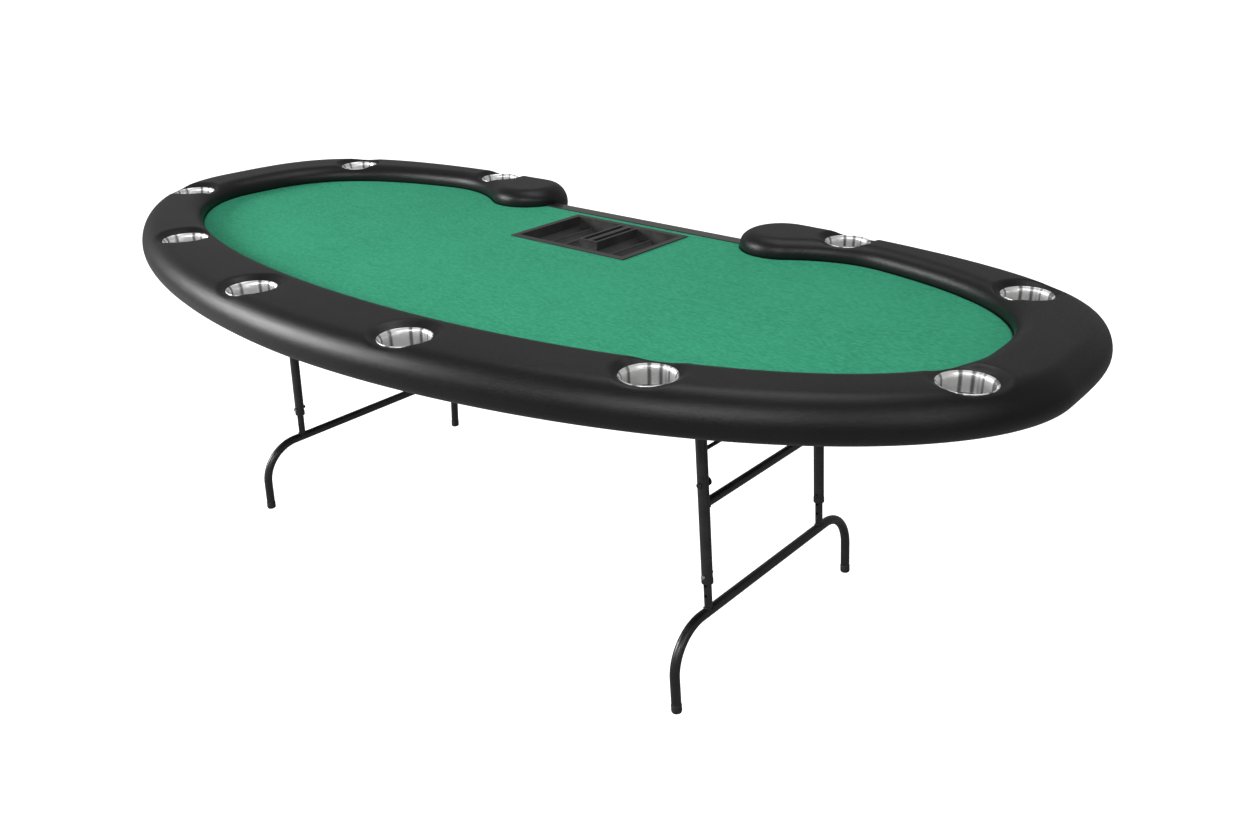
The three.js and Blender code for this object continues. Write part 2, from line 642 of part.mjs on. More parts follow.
// The bolt that holds a brace to a leg: head outside, pointed nut inside
function bracePivot(name, side) {
  const headEnd = LEG_RADIUS + REST_GAP + PIVOT_HEAD_LENGTH;
  const nutStart = -LEG_RADIUS - BRACE_SIDE_GAP - BRACE_BAR_THICK - REST_GAP;
  const profile = [
    [0, headEnd],
    [PIVOT_HEAD_RADIUS - PIVOT_CHAMFER, headEnd],
    [PIVOT_HEAD_RADIUS, headEnd - PIVOT_CHAMFER],
    [PIVOT_HEAD_RADIUS, LEG_RADIUS + REST_GAP],
    [PIVOT_RADIUS, LEG_RADIUS + REST_GAP],
    [PIVOT_RADIUS, nutStart],
    [PIVOT_HEAD_RADIUS, nutStart],
    [PIVOT_HEAD_RADIUS, nutStart - PIVOT_NUT_LENGTH / 3],
    [0, nutStart - PIVOT_NUT_LENGTH],
  ].map(([radius, height]) => new THREE.Vector2(radius, height)).reverse();
  const bolt = new THREE.LatheGeometry(profile, TUBE_SIDES);
  if (side < 0) bolt.rotateX(Math.PI);
  return named(name, solid(bolt.translate(0, side * LEG_Y, -BRACE_PIVOT_DROP)), POWDER_COAT);
}

// A flat bar between two points, standing on edge
function flatBar(from, to) {
  const start = new THREE.Vector3(...from);
  const run = new THREE.Vector3(...to).sub(start);
  const bar = new THREE.BoxGeometry(run.length(), BRACE_BAR_THICK, BRACE_BAR_WIDTH);
  const forwards = run.clone().normalize();
  const up = forwards.clone().cross(new THREE.Vector3(0, 1, 0)).normalize();
  const across = up.clone().cross(forwards);
  const turn = new THREE.Matrix4().makeBasis(forwards, across, up);
  bar.applyMatrix4(turn);
  bar.translate(...start.addScaledVector(run, 0.5).toArray());
  return solid(bar);
}

// A point on the open brace, from its foot on the leg (0) to its root under the deck (1),
// seen from the middle of the hinge axis
function bracePoint(share) {
  return {
    x: BRACE_PIVOT.x - BRACE_RUN * share - HINGE_X,
    z: BRACE_PIVOT.z + BRACE_RISE * share - HINGE_Z,
  };
}
const KNEE_SHARE = BRACE_LOWER / BRACE_STRAIGHT;

function eyeAt(point, y) {
  const half = BRACE_BAR_THICK / 2;
  return rodAlongY(BRACE_EYE_RADIUS, y - half, y + half, point.x, point.z);
}

// The lower link: an arm from each leg, a rod that joins them, and a short pin at each knee.
// Each pin ends just outside the bar of the upper link.
function braceLower(name) {
  const foot = bracePoint(0);
  const elbow = bracePoint(KNEE_SHARE * ARM_BEND_SHARE);
  const knee = bracePoint(KNEE_SHARE);
  const arms = [1, -1].flatMap((side) => {
    const lug = BRACE_LUG_Y * side;
    const bend = [elbow.x, lug, elbow.z];
    const kneeY = side * BRACE_KNEE_Y;
    const stub = flatBar([foot.x, lug, foot.z], bend);
    const arm = flatBar(bend, [knee.x, kneeY, knee.z]);
    return [eyeAt(foot, lug), stub, arm, eyeAt(knee, kneeY), kneePin(side, knee)];
  });
  const joinAt = bracePoint(KNEE_SHARE * BRACE_ROD_SHARE);
  const drawnIn = (BRACE_ROD_SHARE - ARM_BEND_SHARE) / (1 - ARM_BEND_SHARE);
  const reach = BRACE_LUG_Y + (BRACE_KNEE_Y - BRACE_LUG_Y) * drawnIn;
  const rod = rodAlongY(BRACE_ROD_RADIUS, -reach, reach, joinAt.x, joinAt.z);
  const pivotHole = rodAlongY(PIVOT_RADIUS + ROD_CLEARANCE, -LEG_Y, LEG_Y, foot.x, foot.z);
  return named(name, cut(joined([...arms, rod]), [pivotHole]), POWDER_COAT);
}

function kneePin(side, knee) {
  const inner = BRACE_UPPER_Y + BRACE_BAR_THICK / 2 + KNEE_CLEARANCE;
  const outer = BRACE_KNEE_Y + BRACE_BAR_THICK / 2 + KNEE_PIN_HEAD;
  const ends = [side * inner, side * outer].sort((a, b) => a - b);
  return rodAlongY(PIVOT_HEAD_RADIUS, ends[0], ends[1], knee.x, knee.z);
}

// The upper link: two bars and a tie between them
function braceUpper(name) {
  const knee = bracePoint(KNEE_SHARE);
  const root = bracePoint(1);
  const bars = [1, -1].flatMap((side) => {
    const y = side * BRACE_UPPER_Y;
    return [eyeAt(root, y), eyeAt(knee, y), flatBar([root.x, y, root.z], [knee.x, y, knee.z])];
  });
  const middle = bracePoint(1 - (1 - KNEE_SHARE) * BRACE_TIE_SHARE);
  const tie = rodAlongY(BRACE_ROD_RADIUS, -BRACE_UPPER_Y, BRACE_UPPER_Y, middle.x, middle.z);
  const pinHole = rodAlongY(PIVOT_RADIUS + ROD_CLEARANCE, -LEG_Y, LEG_Y, root.x, root.z);
  return named(name, cut(joined([...bars, tie]), [pinHole]), POWDER_COAT);
}

// The bracket under the deck that carries the upper link, with its own pins
function braceBracket(name) {
  const x = BRACE_BRACKET_X - HINGE_X;
  const top = DECK_BOTTOM - REST_GAP - HINGE_Z;
  const ear = BRACE_UPPER_Y + BRACE_BAR_THICK / 2 + REST_GAP;
  const halfWidth = ear + BRACKET_THICK + EAR_RADIUS;
  const plate = box(
    [x - BRACE_PLATE_HALF, -halfWidth, top - BRACKET_THICK],
    [x + BRACE_PLATE_HALF, halfWidth, top],
  );
  const ears = [1, -1].flatMap((side) => {
    const edges = [side * ear, side * (ear + BRACKET_THICK)].sort((a, b) => a - b);
    const pinEnds = [side * (ear + OVERSHOOT), side * (ear - BRACE_BAR_THICK - BRACKET_THICK)];
    pinEnds.sort((a, b) => a - b);
    return [
      box([x - EAR_RADIUS, edges[0], 0], [x + EAR_RADIUS, edges[1], top - OVERSHOOT]),
      rodAlongY(EAR_RADIUS, edges[0], edges[1], x, 0),
      rodAlongY(PIVOT_RADIUS, pinEnds[0], pinEnds[1], x, 0),
    ];
  });
  return named(name, joined([plate, ...ears]), POWDER_COAT);
}

function legSet(side) {
  const rowName = (end) => ((side === "right") === end > 0 ? "back" : "front");
  const set = new THREE.Group();
  set.position.set(HINGE_X, 0, HINGE_Z);
  const splayed = new THREE.Group();
  splayed.rotation.y = -SPLAY;
  for (const end of [1, -1]) {
    const place = `${side}_${rowName(end)}`;
    set.add(hingeBracket(`hinge_bracket_${place}`, end * LEG_Y));
    splayed.add(heightPin(`height_pin_${place}`, end));
    splayed.add(bracePivot(`brace_pivot_${place}`, end));
    splayed.add(footCap(`foot_cap_${place}`, end));
  }
  splayed.add(legFrame(`leg_frame_${side}`));
  splayed.add(footFrame(`foot_frame_${side}`));
  set.add(splayed);
  set.add(hingeRod(`hinge_rod_${side}`));
  set.add(braceLower(`brace_lower_${side}`));
  set.add(braceUpper(`brace_upper_${side}`));
  set.add(braceBracket(`brace_bracket_${side}`));
  const turned = new THREE.Group();
  if (side === "left") turned.rotation.z = Math.PI;
  turned.add(set);
  return turned;
}

// ---- The table -----------------------------------------------------------------------------

const table = new THREE.Group();
table.position.y = (OUTER.front - RAIL_BACK_Y) / 2;
table.add(deckPanel(), playingSurface(), railCore(), railPadding(), dealerEdgeTrim(), chipTray());
table.add(...CUPS.map(cupHolder));
table.add(legSet("right"), legSet("left"));

export default table;
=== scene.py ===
"""Looks for the oval folding poker table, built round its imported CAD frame. All sizes are in metres."""

import json
import math

import bmesh
import bpy
import numpy as np
from mathutils import Matrix, Vector
from mathutils import noise as field


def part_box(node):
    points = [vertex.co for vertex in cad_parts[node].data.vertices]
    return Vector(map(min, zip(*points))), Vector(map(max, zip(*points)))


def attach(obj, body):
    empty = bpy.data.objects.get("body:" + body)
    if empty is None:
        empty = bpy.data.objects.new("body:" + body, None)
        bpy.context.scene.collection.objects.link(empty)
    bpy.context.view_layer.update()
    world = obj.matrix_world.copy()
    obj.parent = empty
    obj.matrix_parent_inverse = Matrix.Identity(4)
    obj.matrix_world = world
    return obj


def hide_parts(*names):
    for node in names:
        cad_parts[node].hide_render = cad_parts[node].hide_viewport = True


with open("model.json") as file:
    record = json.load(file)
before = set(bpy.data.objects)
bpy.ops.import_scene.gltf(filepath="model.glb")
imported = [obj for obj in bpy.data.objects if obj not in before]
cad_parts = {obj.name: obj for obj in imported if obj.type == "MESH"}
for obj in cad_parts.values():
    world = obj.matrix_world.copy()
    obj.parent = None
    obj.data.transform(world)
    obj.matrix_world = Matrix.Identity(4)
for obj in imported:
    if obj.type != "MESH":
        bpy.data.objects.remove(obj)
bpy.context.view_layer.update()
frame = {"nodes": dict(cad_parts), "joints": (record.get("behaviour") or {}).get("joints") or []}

# ---- Places taken from the frame -------------------------------------------------------------

JOINTS = {joint["name"]: joint for joint in frame["joints"]}
SIDES = {"right": 1, "left": -1}
ROWS = {"front": -1, "back": 1}
HINGE_X, MIDDLE_Y, HINGE_Z = JOINTS["leg_fold_right"]["pos_m"]
SLIDE_AXIS = JOINTS["foot_slide_right"]["axis"]
SPLAY = math.atan2(-SLIDE_AXIS[0], SLIDE_AXIS[2])

PAD_LOW, PAD_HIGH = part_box("rail_padding")
CLOTH_LOW, CLOTH_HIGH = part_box("playing_surface")
DECK_LOW, DECK_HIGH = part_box("deck_panel")
TRAY_LOW, TRAY_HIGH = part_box("chip_tray")
CUP_NODES = sorted(name for name in frame["nodes"] if name.startswith("cup_holder"))


def middle(node):
    low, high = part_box(node)
    return (low + high) / 2


CUP_CENTRES = {name: middle(name) for name in CUP_NODES}
CUP_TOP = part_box(CUP_NODES[0])[1].z
CUP_RADIUS = (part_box(CUP_NODES[0])[1].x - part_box(CUP_NODES[0])[0].x) / 2

# ---- Driving dimensions ----------------------------------------------------------------------

# Plan of the table
OUTER_POWERS = (1.88, 3.5)
INNER_POWERS = (2, 3)
INNER_HALF = 1.050
INNER_FRONT = 0.440
INNER_BACK = 0.425
RAIL_END_X = 0.393
RAIL_END_RADIUS = 0.098
RAIL_END_Y = PAD_HIGH.y - RAIL_END_RADIUS
FLARE_ANGLE = math.radians(35)
FLARE_LENGTH = 0.200
DECK_NOTCH_X = 0.345
DECK_BACK_Y = MIDDLE_Y + 0.408
CLOTH_BACK_Y = CLOTH_HIGH.y
SKIRT = 0.020
BACK_STEPS = 900
FRONT_STEPS = 1500

# Padded rail
OUTER_SHOULDER = 0.046
INNER_SHOULDER = 0.030
BOTTOM_ROUND = 0.030
CROWN_REACH = 0.056
CROWN_DROP = 0.0025
DOME_DROP = 0.004
CUP_DIP_REACH = 0.0175
CUP_HOLE = 0.0465
CUP_RIM_SEAT = 0.0018
CUP_LIP_DROP = 0.0022
CUP_LIP_LENGTH = 0.030
DECK_GAP = 0.0006
DECK_SEAT_GAP = 0.0004
INNER_TUCK = 0.0022
MERGE_WITHIN = 2e-5
MAIN_RIBS = 860
END_RIBS = 54
ACROSS = 38
WALL_ROWS = 5
UNDER_ROWS = 8

# Cloth and the foam under it
CLOTH_GAP = 0.0012
CLOTH_STEPS = 520
CLOTH_END_STEPS = 40
TRAY_LAP = 0.0112
FOAM_INSET = 0.0008
FOAM_DROP = 0.0012

# Cup holders
CUP_DEPTH = 0.0700
CUP_WALL = 0.0012
CUP_MOUTH_STEP = 0.0060

# Leg sets: distances are down the leg from its hinge
LEG_RADIUS = 0.011
LEG_BORE = 0.0086
LEG_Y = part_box("leg_frame_right")[1].y - MIDDLE_Y - LEG_RADIUS
LEG_HEAD = 0.007
SLEEVE_LENGTH = 0.431
COLLAR_LENGTH = 0.011
COLLAR_STEP = 0.0007
CROSSBAR_DROP = 0.265
CROSSBAR_RADIUS = 0.009
SLIDE_RADIUS = 0.008
SLIDE_WALL = 0.0012
SLIDE_TOP = 0.330
BORE_TOP = 0.278
PIN_DROP = 0.413
HOLE_PITCH = 0.022
HOLE_RADIUS = 0.0032
HOLE_REACH = 0.012
HOLE_COUNT = 3
FOOT_BAR_DROP = 0.493
SLIDE_END = FOOT_BAR_DROP - 0.005
FOOT_BAR_RADIUS = 0.010
FOOT_Y = 0.317
FOOT_BEND = 0.090
BEND_STEPS = 22
CAP_HEIGHT = 0.018
CAP_RADIUS = 0.0108
FLOOR_DROP = HINGE_Z / math.cos(SPLAY)
TUBE_SIDES = 40

# Rounded edges of the CAD parts that are shown
BOLT_EDGE = 0.0004
STRIP_EDGE = 0.0006
BOARD_EDGE = 0.0008
TRAY_EDGE = 0.0009
FLAT_WITHIN = math.radians(1)
ROUND_OVER = math.radians(31)

TWILL_TURN = math.radians(24)


# ---- Materials -------------------------------------------------------------------------------


class Finish:
    """A node material built round one Principled shader, with helpers for its textures."""

    def __init__(self, name, color, roughness, metallic=0.0, **sockets):
        self.material = bpy.data.materials.new(name)
        self.material.use_nodes = True
        self.nodes = self.material.node_tree.nodes
        self.links = self.material.node_tree.links
        self.shader = self.nodes["Principled BSDF"]
        self.shader.inputs["Base Color"].default_value = (*color, 1)
        self.shader.inputs["Roughness"].default_value = roughness
        self.shader.inputs["Metallic"].default_value = metallic
        for socket, value in sockets.items():
            self.shader.inputs[socket.replace("_", " ")].default_value = value
        self.place = self.nodes.new("ShaderNodeTexCoord").outputs["Object"]

    def node(self, kind, inputs=None, **settings):
        made = self.nodes.new(kind)
        for key, value in settings.items():
            setattr(made, key, value)
        for key, value in (inputs or {}).items():
            if isinstance(value, bpy.types.NodeSocket):
                self.links.new(value, made.inputs[key])
            else:
                made.inputs[key].default_value = value
        return made

    def scaled(self, scale):
        mapping = self.node("ShaderNodeMapping", {"Vector": self.place, "Scale": scale})
        return mapping.outputs["Vector"]

    def slanted(self, turn, scale):
        inputs = {"Vector": self.place, "Rotation": (0, 0, turn), "Scale": scale}
        return self.node("ShaderNodeMapping", inputs).outputs["Vector"]

    def noise(self, scale, detail=3.0, place=None, roughness=0.5):
        inputs = {"Vector": place or self.place, "Scale": scale, "Detail": detail, "Roughness": roughness}
        return self.node("ShaderNodeTexNoise", inputs).outputs["Fac"]

    def cells(self, scale, place=None):
        inputs = {"Vector": place or self.place, "Scale": scale}
        return self.node("ShaderNodeTexVoronoi", inputs, feature="DISTANCE_TO_EDGE").outputs["Distance"]

    def between(self, value, low, high, start=0.0, end=1.0):
        """value from start..end turned into low..high, clamped."""
        inputs = {0: value, 1: start, 2: end, 3: low, 4: high}
        return self.node("ShaderNodeMapRange", inputs).outputs[0]

    def mixed(self, factor, first, second):
        mix = self.node("ShaderNodeMix", {0: factor}, data_type="RGBA")
        for socket, color in ((mix.inputs[6], first), (mix.inputs[7], second)):
            if isinstance(color, bpy.types.NodeSocket):
                self.links.new(color, socket)
            else:
                socket.default_value = (*color, 1)
        return mix.outputs[2]

    def shaded(self, value, start, end, dark, pale):
        """dark turning into pale as value goes from start to end."""
        return self.mixed(self.between(value, 0.0, 1.0, start, end), dark, pale)

    def maths(self, operation, first, second=0.0):
        return self.node("ShaderNodeMath", {0: first, 1: second}, operation=operation).outputs[0]

    def color(self, socket):
        self.links.new(socket, self.shader.inputs["Base Color"])

    def roughness(self, socket):
        self.links.new(socket, self.shader.inputs["Roughness"])

    def bump(self, height, distance, strength=1.0, under=None):
        inputs = {"Height": height, "Distance": distance, "Strength": strength}
        if under is not None:
            inputs["Normal"] = under
        normal = self.node("ShaderNodeBump", inputs).outputs["Normal"]
        self.links.new(normal, self.shader.inputs["Normal"])
        return normal


def vinyl_finish():
    """Black upholstery vinyl: a fine pebbled grain, slightly uneven gloss."""
    finish = Finish("rail_vinyl", (0.004, 0.004, 0.0042), 0.36, Specular_IOR_Level=0.34)
    grain = finish.cells(720.0)
    pores = finish.noise(260.0, 4.0)
    drift = finish.noise(7.0, 3.0)
    finish.color(finish.shaded(drift, 0.3, 0.7, (0.0030, 0.0030, 0.0032), (0.0055, 0.0055, 0.0057)))
    finish.roughness(finish.between(pores, 0.30, 0.42, 0.3, 0.7))
    lumps = finish.bump(finish.between(grain, 0.0, 1.0, 0.0, 0.25), 0.00012, 0.55)
    finish.bump(pores, 0.0002, 0.3, lumps)
    return finish.material


def cloth_finish():
    """Green speed cloth: a fine plain weave, a faint rib along the table and a paler slanting fleck."""
    finish = Finish("speed_cloth", (0.033, 0.33, 0.18), 0.85, Specular_IOR_Level=0.2)
    weave = {"Vector": finish.place, "Distortion": 1.2, "Detail": 2.0, "Detail Scale": 3.0}
    warp = finish.node("ShaderNodeTexWave", weave | {"Scale": 180.0}, bands_direction="X").outputs["Fac"]
    weft = finish.node("ShaderNodeTexWave", weave | {"Scale": 150.0}, bands_direction="Y").outputs["Fac"]
    threads = finish.maths("MULTIPLY", warp, weft)
    slubs = finish.noise(60.0, 5.0, finish.scaled((0.25, 2.4, 1.0)))
    twill = finish.noise(1.0, 3.0, finish.slanted(TWILL_TURN, (95.0, 260.0, 1.0)))
    drift = finish.noise(3.0, 3.0)
    plain = finish.shaded(drift, 0.35, 0.65, (0.025, 0.285, 0.150), (0.031, 0.320, 0.172))
    base = finish.mixed(finish.between(twill, 0.0, 0.75, 0.42, 0.66), plain, (0.062, 0.46, 0.27))
    ribbed = finish.mixed(finish.between(slubs, 0.0, 0.5, 0.35, 0.7), base, (0.055, 0.43, 0.25))
    woven = finish.mixed(finish.between(threads, 0.0, 0.45), ribbed, (0.020, 0.225, 0.115))
    finish.color(woven)
    finish.roughness(finish.between(slubs, 0.7, 0.86, 0.3, 0.7))
    finish.bump(threads, 0.00015, 0.6)
    return finish.material


def steel_finish():
    """Stainless steel of a drawn cup, brushed round the cup, with upright light and dark bands of painted
    reflection in its colour.
    """
    finish = Finish("brushed_steel", (0.8, 0.8, 0.8), 0.34, 0.62, Anisotropic=0.5)
    level = finish.scaled((1.0, 1.0, 0.0))
    heading = finish.node("ShaderNodeVectorMath", {0: level}, operation="NORMALIZE").outputs[0]
    # painted reflection: upright bands standing for softboxes reflected round the cup, set by the direction
    # about its axis
    painted_reflection_bands = finish.noise(3.4, 1.0, heading)
    brushing = finish.noise(1.0, 6.0, finish.scaled((25.0, 25.0, 2600.0)))
    smudges = finish.noise(45.0, 3.0)
    # painted reflection bands, dark grey to near white, put into the base colour
    painted_reflections = finish.shaded(painted_reflection_bands, 0.41, 0.50, (0.13, 0.13, 0.135), (1.0, 1.0, 0.99))
    finish.color(finish.mixed(finish.between(brushing, 0.0, 0.4, 0.3, 0.7), painted_reflections, (0.66, 0.66, 0.66)))
    finish.roughness(finish.between(smudges, 0.30, 0.42, 0.3, 0.7))
    finish.bump(brushing, 0.00004, 0.4)
    tangent = finish.node("ShaderNodeTangent", direction_type="RADIAL", axis="Z")
    finish.links.new(tangent.outputs["Tangent"], finish.shader.inputs["Tangent"])
    return finish.material


def powder_finish():
    """Black powder coat with a slight orange peel."""
    finish = Finish("powder_coat", (0.011, 0.011, 0.0115), 0.3, Specular_IOR_Level=0.6)
    peel = finish.noise(420.0, 2.0)
    wear = finish.noise(28.0, 5.0)
    finish.color(finish.shaded(wear, 0.45, 0.75, (0.008, 0.008, 0.0085), (0.017, 0.017, 0.0175)))
    finish.roughness(finish.between(wear, 0.26, 0.4, 0.3, 0.7))
    finish.bump(peel, 0.00015, 0.35)
    return finish.material


def zinc_finish():
    """Zinc-plated steel, bright with a faint mottle."""
    finish = Finish("zinc_steel", (0.55, 0.56, 0.58), 0.34, 1.0)
    mottle = finish.noise(160.0, 5.0)
    finish.color(finish.shaded(mottle, 0.35, 0.65, (0.42, 0.43, 0.45), (0.66, 0.66, 0.67)))
    finish.roughness(finish.between(mottle, 0.26, 0.44, 0.3, 0.7))
    return finish.material


def moulded_finish():
    """Black moulded plastic with a fine spark texture and a slight haze."""
    finish = Finish("moulded_tray", (0.035, 0.034, 0.035), 0.36)
    spark = finish.noise(1500.0, 2.0)
    haze = finish.noise(22.0, 4.0)
    finish.color(finish.shaded(haze, 0.35, 0.7, (0.028, 0.027, 0.028), (0.046, 0.044, 0.046)))
    finish.roughness(finish.between(haze, 0.3, 0.46, 0.3, 0.7))
    finish.bump(spark, 0.00008, 0.5)
    return finish.material


def trim_finish():
    """Black extruded edging: smoother and glossier than the tray, drawn along its length."""
    finish = Finish("edge_trim", (0.014, 0.014, 0.0145), 0.25, Specular_IOR_Level=0.6, Coat_Weight=0.5)
    lines = finish.noise(1.0, 4.0, finish.scaled((3.0, 900.0, 900.0)))
    finish.color(finish.shaded(lines, 0.3, 0.7, (0.011, 0.011, 0.0115), (0.02, 0.02, 0.021)))
    finish.roughness(finish.between(lines, 0.24, 0.38, 0.3, 0.7))
    finish.bump(lines, 0.00005, 0.4)
    return finish.material


def plywood_finish():
    """Black-stained plywood: long grain showing through the stain."""
    finish = Finish("plywood", (0.04, 0.034, 0.03), 0.62)
    grain = finish.noise(1.0, 8.0, finish.scaled((3.0, 70.0, 70.0)), 0.65)
    streaks = finish.noise(1.0, 3.0, finish.scaled((1.2, 14.0, 14.0)))
    layers = {"Vector": finish.place, "Scale": 55.0, "Distortion": 0.4}
    plies = finish.node("ShaderNodeTexWave", layers, bands_direction="Z").outputs["Fac"]
    stain = finish.shaded(grain, 0.35, 0.68, (0.024, 0.02, 0.017), (0.075, 0.06, 0.048))
    veneer = finish.mixed(finish.between(streaks, 0.0, 0.7, 0.4, 0.7), stain, (0.035, 0.028, 0.023))
    finish.color(finish.mixed(finish.between(plies, 0.0, 0.4, 0.5, 1.0), veneer, (0.02, 0.016, 0.013)))
    finish.roughness(finish.between(grain, 0.5, 0.72, 0.3, 0.7))
    finish.bump(grain, 0.0004, 0.4)
    return finish.material


def rubber_finish():
    """Black moulded rubber, dull, with patches of dust."""
    finish = Finish("foot_rubber", (0.02, 0.02, 0.02), 0.7)
    dust = finish.noise(120.0, 5.0)
    finish.color(finish.shaded(dust, 0.4, 0.75, (0.014, 0.014, 0.014), (0.035, 0.034, 0.033)))
    finish.roughness(finish.between(dust, 0.58, 0.8, 0.3, 0.7))
    finish.bump(dust, 0.0002, 0.4)
    return finish.material


def floor_finish():
    """A pale floor: white to the camera, and a softer grey in what the table reflects."""
    finish = Finish("studio_floor", (0.4, 0.4, 0.4), 0.9, Specular_IOR_Level=0.1)
    drift = finish.noise(0.7, 2.0)
    finish.color(finish.mixed(drift, (0.38, 0.38, 0.38), (0.42, 0.42, 0.42)))
    glow = finish.node("ShaderNodeEmission", {"Color": (1, 1, 1, 1), "Strength": 1.2})
    lit = finish.node("ShaderNodeAddShader")
    finish.links.new(finish.shader.outputs[0], lit.inputs[0])
    finish.links.new(glow.outputs[0], lit.inputs[1])
    path = finish.node("ShaderNodeLightPath")
    both = finish.node("ShaderNodeMixShader", {0: path.outputs["Is Camera Ray"]})
    finish.links.new(finish.shader.outputs[0], both.inputs[1])
    finish.links.new(lit.outputs[0], both.inputs[2])
    finish.links.new(both.outputs[0], finish.nodes["Material Output"].inputs["Surface"])
    return finish.material


MATERIALS = {
    "rail_vinyl": vinyl_finish(),
    "speed_cloth": cloth_finish(),
    "brushed_steel": steel_finish(),
    "powder_coat": powder_finish(),
    "zinc_steel": zinc_finish(),
    "moulded_tray": moulded_finish(),
    "edge_trim": trim_finish(),
    "plywood": plywood_finish(),
    "foot_rubber": rubber_finish(),
}


# ---- Mesh helpers ----------------------------------------------------------------------------


def piece(name, bm, slot, body, stands_for=(), sharp=math.radians(40), origin=None):
    """Makes an object of a bmesh, shades it smooth between its sharp edges and puts it on its body."""
    bmesh.ops.recalc_face_normals(bm, faces=bm.faces)
    for face in bm.faces:
        face.smooth = True
    for edge in bm.edges:
        if len(edge.link_faces) == 2 and edge.calc_face_angle(0) > sharp:
            edge.smooth = False
    if origin is not None:
        bmesh.ops.translate(bm, verts=bm.verts, vec=-Vector(origin))
    mesh = bpy.data.meshes.new(name)
    bm.to_mesh(mesh)
    bm.free()
    mesh.materials.append(MATERIALS[slot])
    made = bpy.data.objects.new(name, mesh)
    bpy.context.scene.collection.objects.link(made)
    if origin is not None:
        made.location = origin
    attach(made, body)
    if stands_for:
        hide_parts(*stands_for)
    return made


def ring(bm, centre, side, up, radius, sides):
    """A circle of vertices round a point."""
    turns = [2 * math.pi * k / sides for k in range(sides)]
    spots = [centre + side * radius * math.cos(turn) + up * radius * math.sin(turn) for turn in turns]
    return [bm.verts.new(spot) for spot in spots]


def join_rings(bm, below, above):
    """Faces between two closed rings that have the same number of vertices."""
    count = len(below)
    for k in range(count):
        following = (k + 1) % count
        bm.faces.new((below[k], below[following], above[following], above[k]))


def tube(bm, path, radius, sides=TUBE_SIDES):
    """A round bar along a path, with slightly rounded ends."""
    path = [Vector(point) for point in path]
    heading = (path[1] - path[0]).normalized()
    across = heading.orthogonal().normalized()
    circles = []
    for index, point in enumerate(path):
        before = path[max(index - 1, 0)]
        after = path[min(index + 1, len(path) - 1)]
        turned = (after - before).normalized()
        across = (across - turned * across.dot(turned)).normalized()
        circles.append((point, across.copy(), turned.cross(across), radius))
    edge = radius * 0.12
    first, last = path[0], path[-1]
    start_dir = (path[1] - first).normalized()
    end_dir = (last - path[-2]).normalized()
    circles.insert(0, (first - start_dir * edge, circles[0][1], circles[0][2], radius - edge))
    circles.append((last + end_dir * edge, circles[-1][1], circles[-1][2], radius - edge))
    loops = [ring(bm, *circle, sides) for circle in circles]
    for below, above in zip(loops, loops[1:]):
        join_rings(bm, below, above)
    bm.faces.new(loops[0][::-1])
    bm.faces.new(loops[-1])


def lathe(bm, profile, origin, axis, sides=TUBE_SIDES, closed=False):
    """Turns a profile of (radius, height) about an axis. A radius of 0 closes the end."""
    axis = Vector(axis).normalized()
    side = axis.orthogonal().normalized()
    up = axis.cross(side)
    loops = []
    for radius, height in profile:
        centre = Vector(origin) + axis * height
        if radius < 1e-7:
            loops.append([bm.verts.new(centre)])
            continue
        loops.append(ring(bm, centre, side, up, radius, sides))
    pairs = list(zip(loops, loops[1:]))
    if closed:
        pairs.append((loops[-1], loops[0]))
    for below, above in pairs:
        for k in range(sides):
            corners = [below[k % len(below)], below[(k + 1) % len(below)]]
            corners += [above[(k + 1) % len(above)], above[k % len(above)]]
            distinct = list(dict.fromkeys(corners))
            if len(distinct) > 2:
                bm.faces.new(distinct)


def weld(bm, centre, bar_axis, tube_axis, bar_radius, tube_radius, bead=0.0021, sides=44, bead_sides=8):
    """A weld bead where a bar runs into the side of a tube."""
    bar_axis, tube_axis = Vector(bar_axis).normalized(), Vector(tube_axis).normalized()
    across = bar_axis.cross(tube_axis)
    loops = []
    for k in range(sides):
        turn = 2 * math.pi * k / sides
        outward = across * math.cos(turn) + tube_axis * math.sin(turn)
        reach = (bar_radius + bead * 0.35) * math.cos(turn)
        along = math.sqrt(max(tube_radius**2 - reach**2, 0)) + bead * 0.35
        spot = Vector(centre) + bar_axis * along + outward * (bar_radius + bead * 0.35)
        size = bead * (0.85 + 0.3 * field.noise(spot * 900))
        loops.append(ring(bm, spot, outward, bar_axis, size, bead_sides))
    for k in range(sides):
        join_rings(bm, loops[k], loops[(k + 1) % sides])


def carve(made, cutters):
    """Cuts solids out of a piece."""
    tools = []
    for cutter in cutters:
        mesh = bpy.data.meshes.new("cutter")
        bmesh.ops.recalc_face_normals(cutter, faces=cutter.faces)
        cutter.to_mesh(mesh)
        cutter.free()
        tool = bpy.data.objects.new("cutter", mesh)
        bpy.context.scene.collection.objects.link(tool)
        change = made.modifiers.new("cut", "BOOLEAN")
        change.operation = "DIFFERENCE"
        change.solver = "EXACT"
        change.object = tool
        tools.append(tool)
    seen = made.evaluated_get(bpy.context.evaluated_depsgraph_get())
    result = bpy.data.meshes.new_from_object(seen)
    made.modifiers.clear()
    made.data = result
    for tool in tools:
        bpy.data.objects.remove(tool)


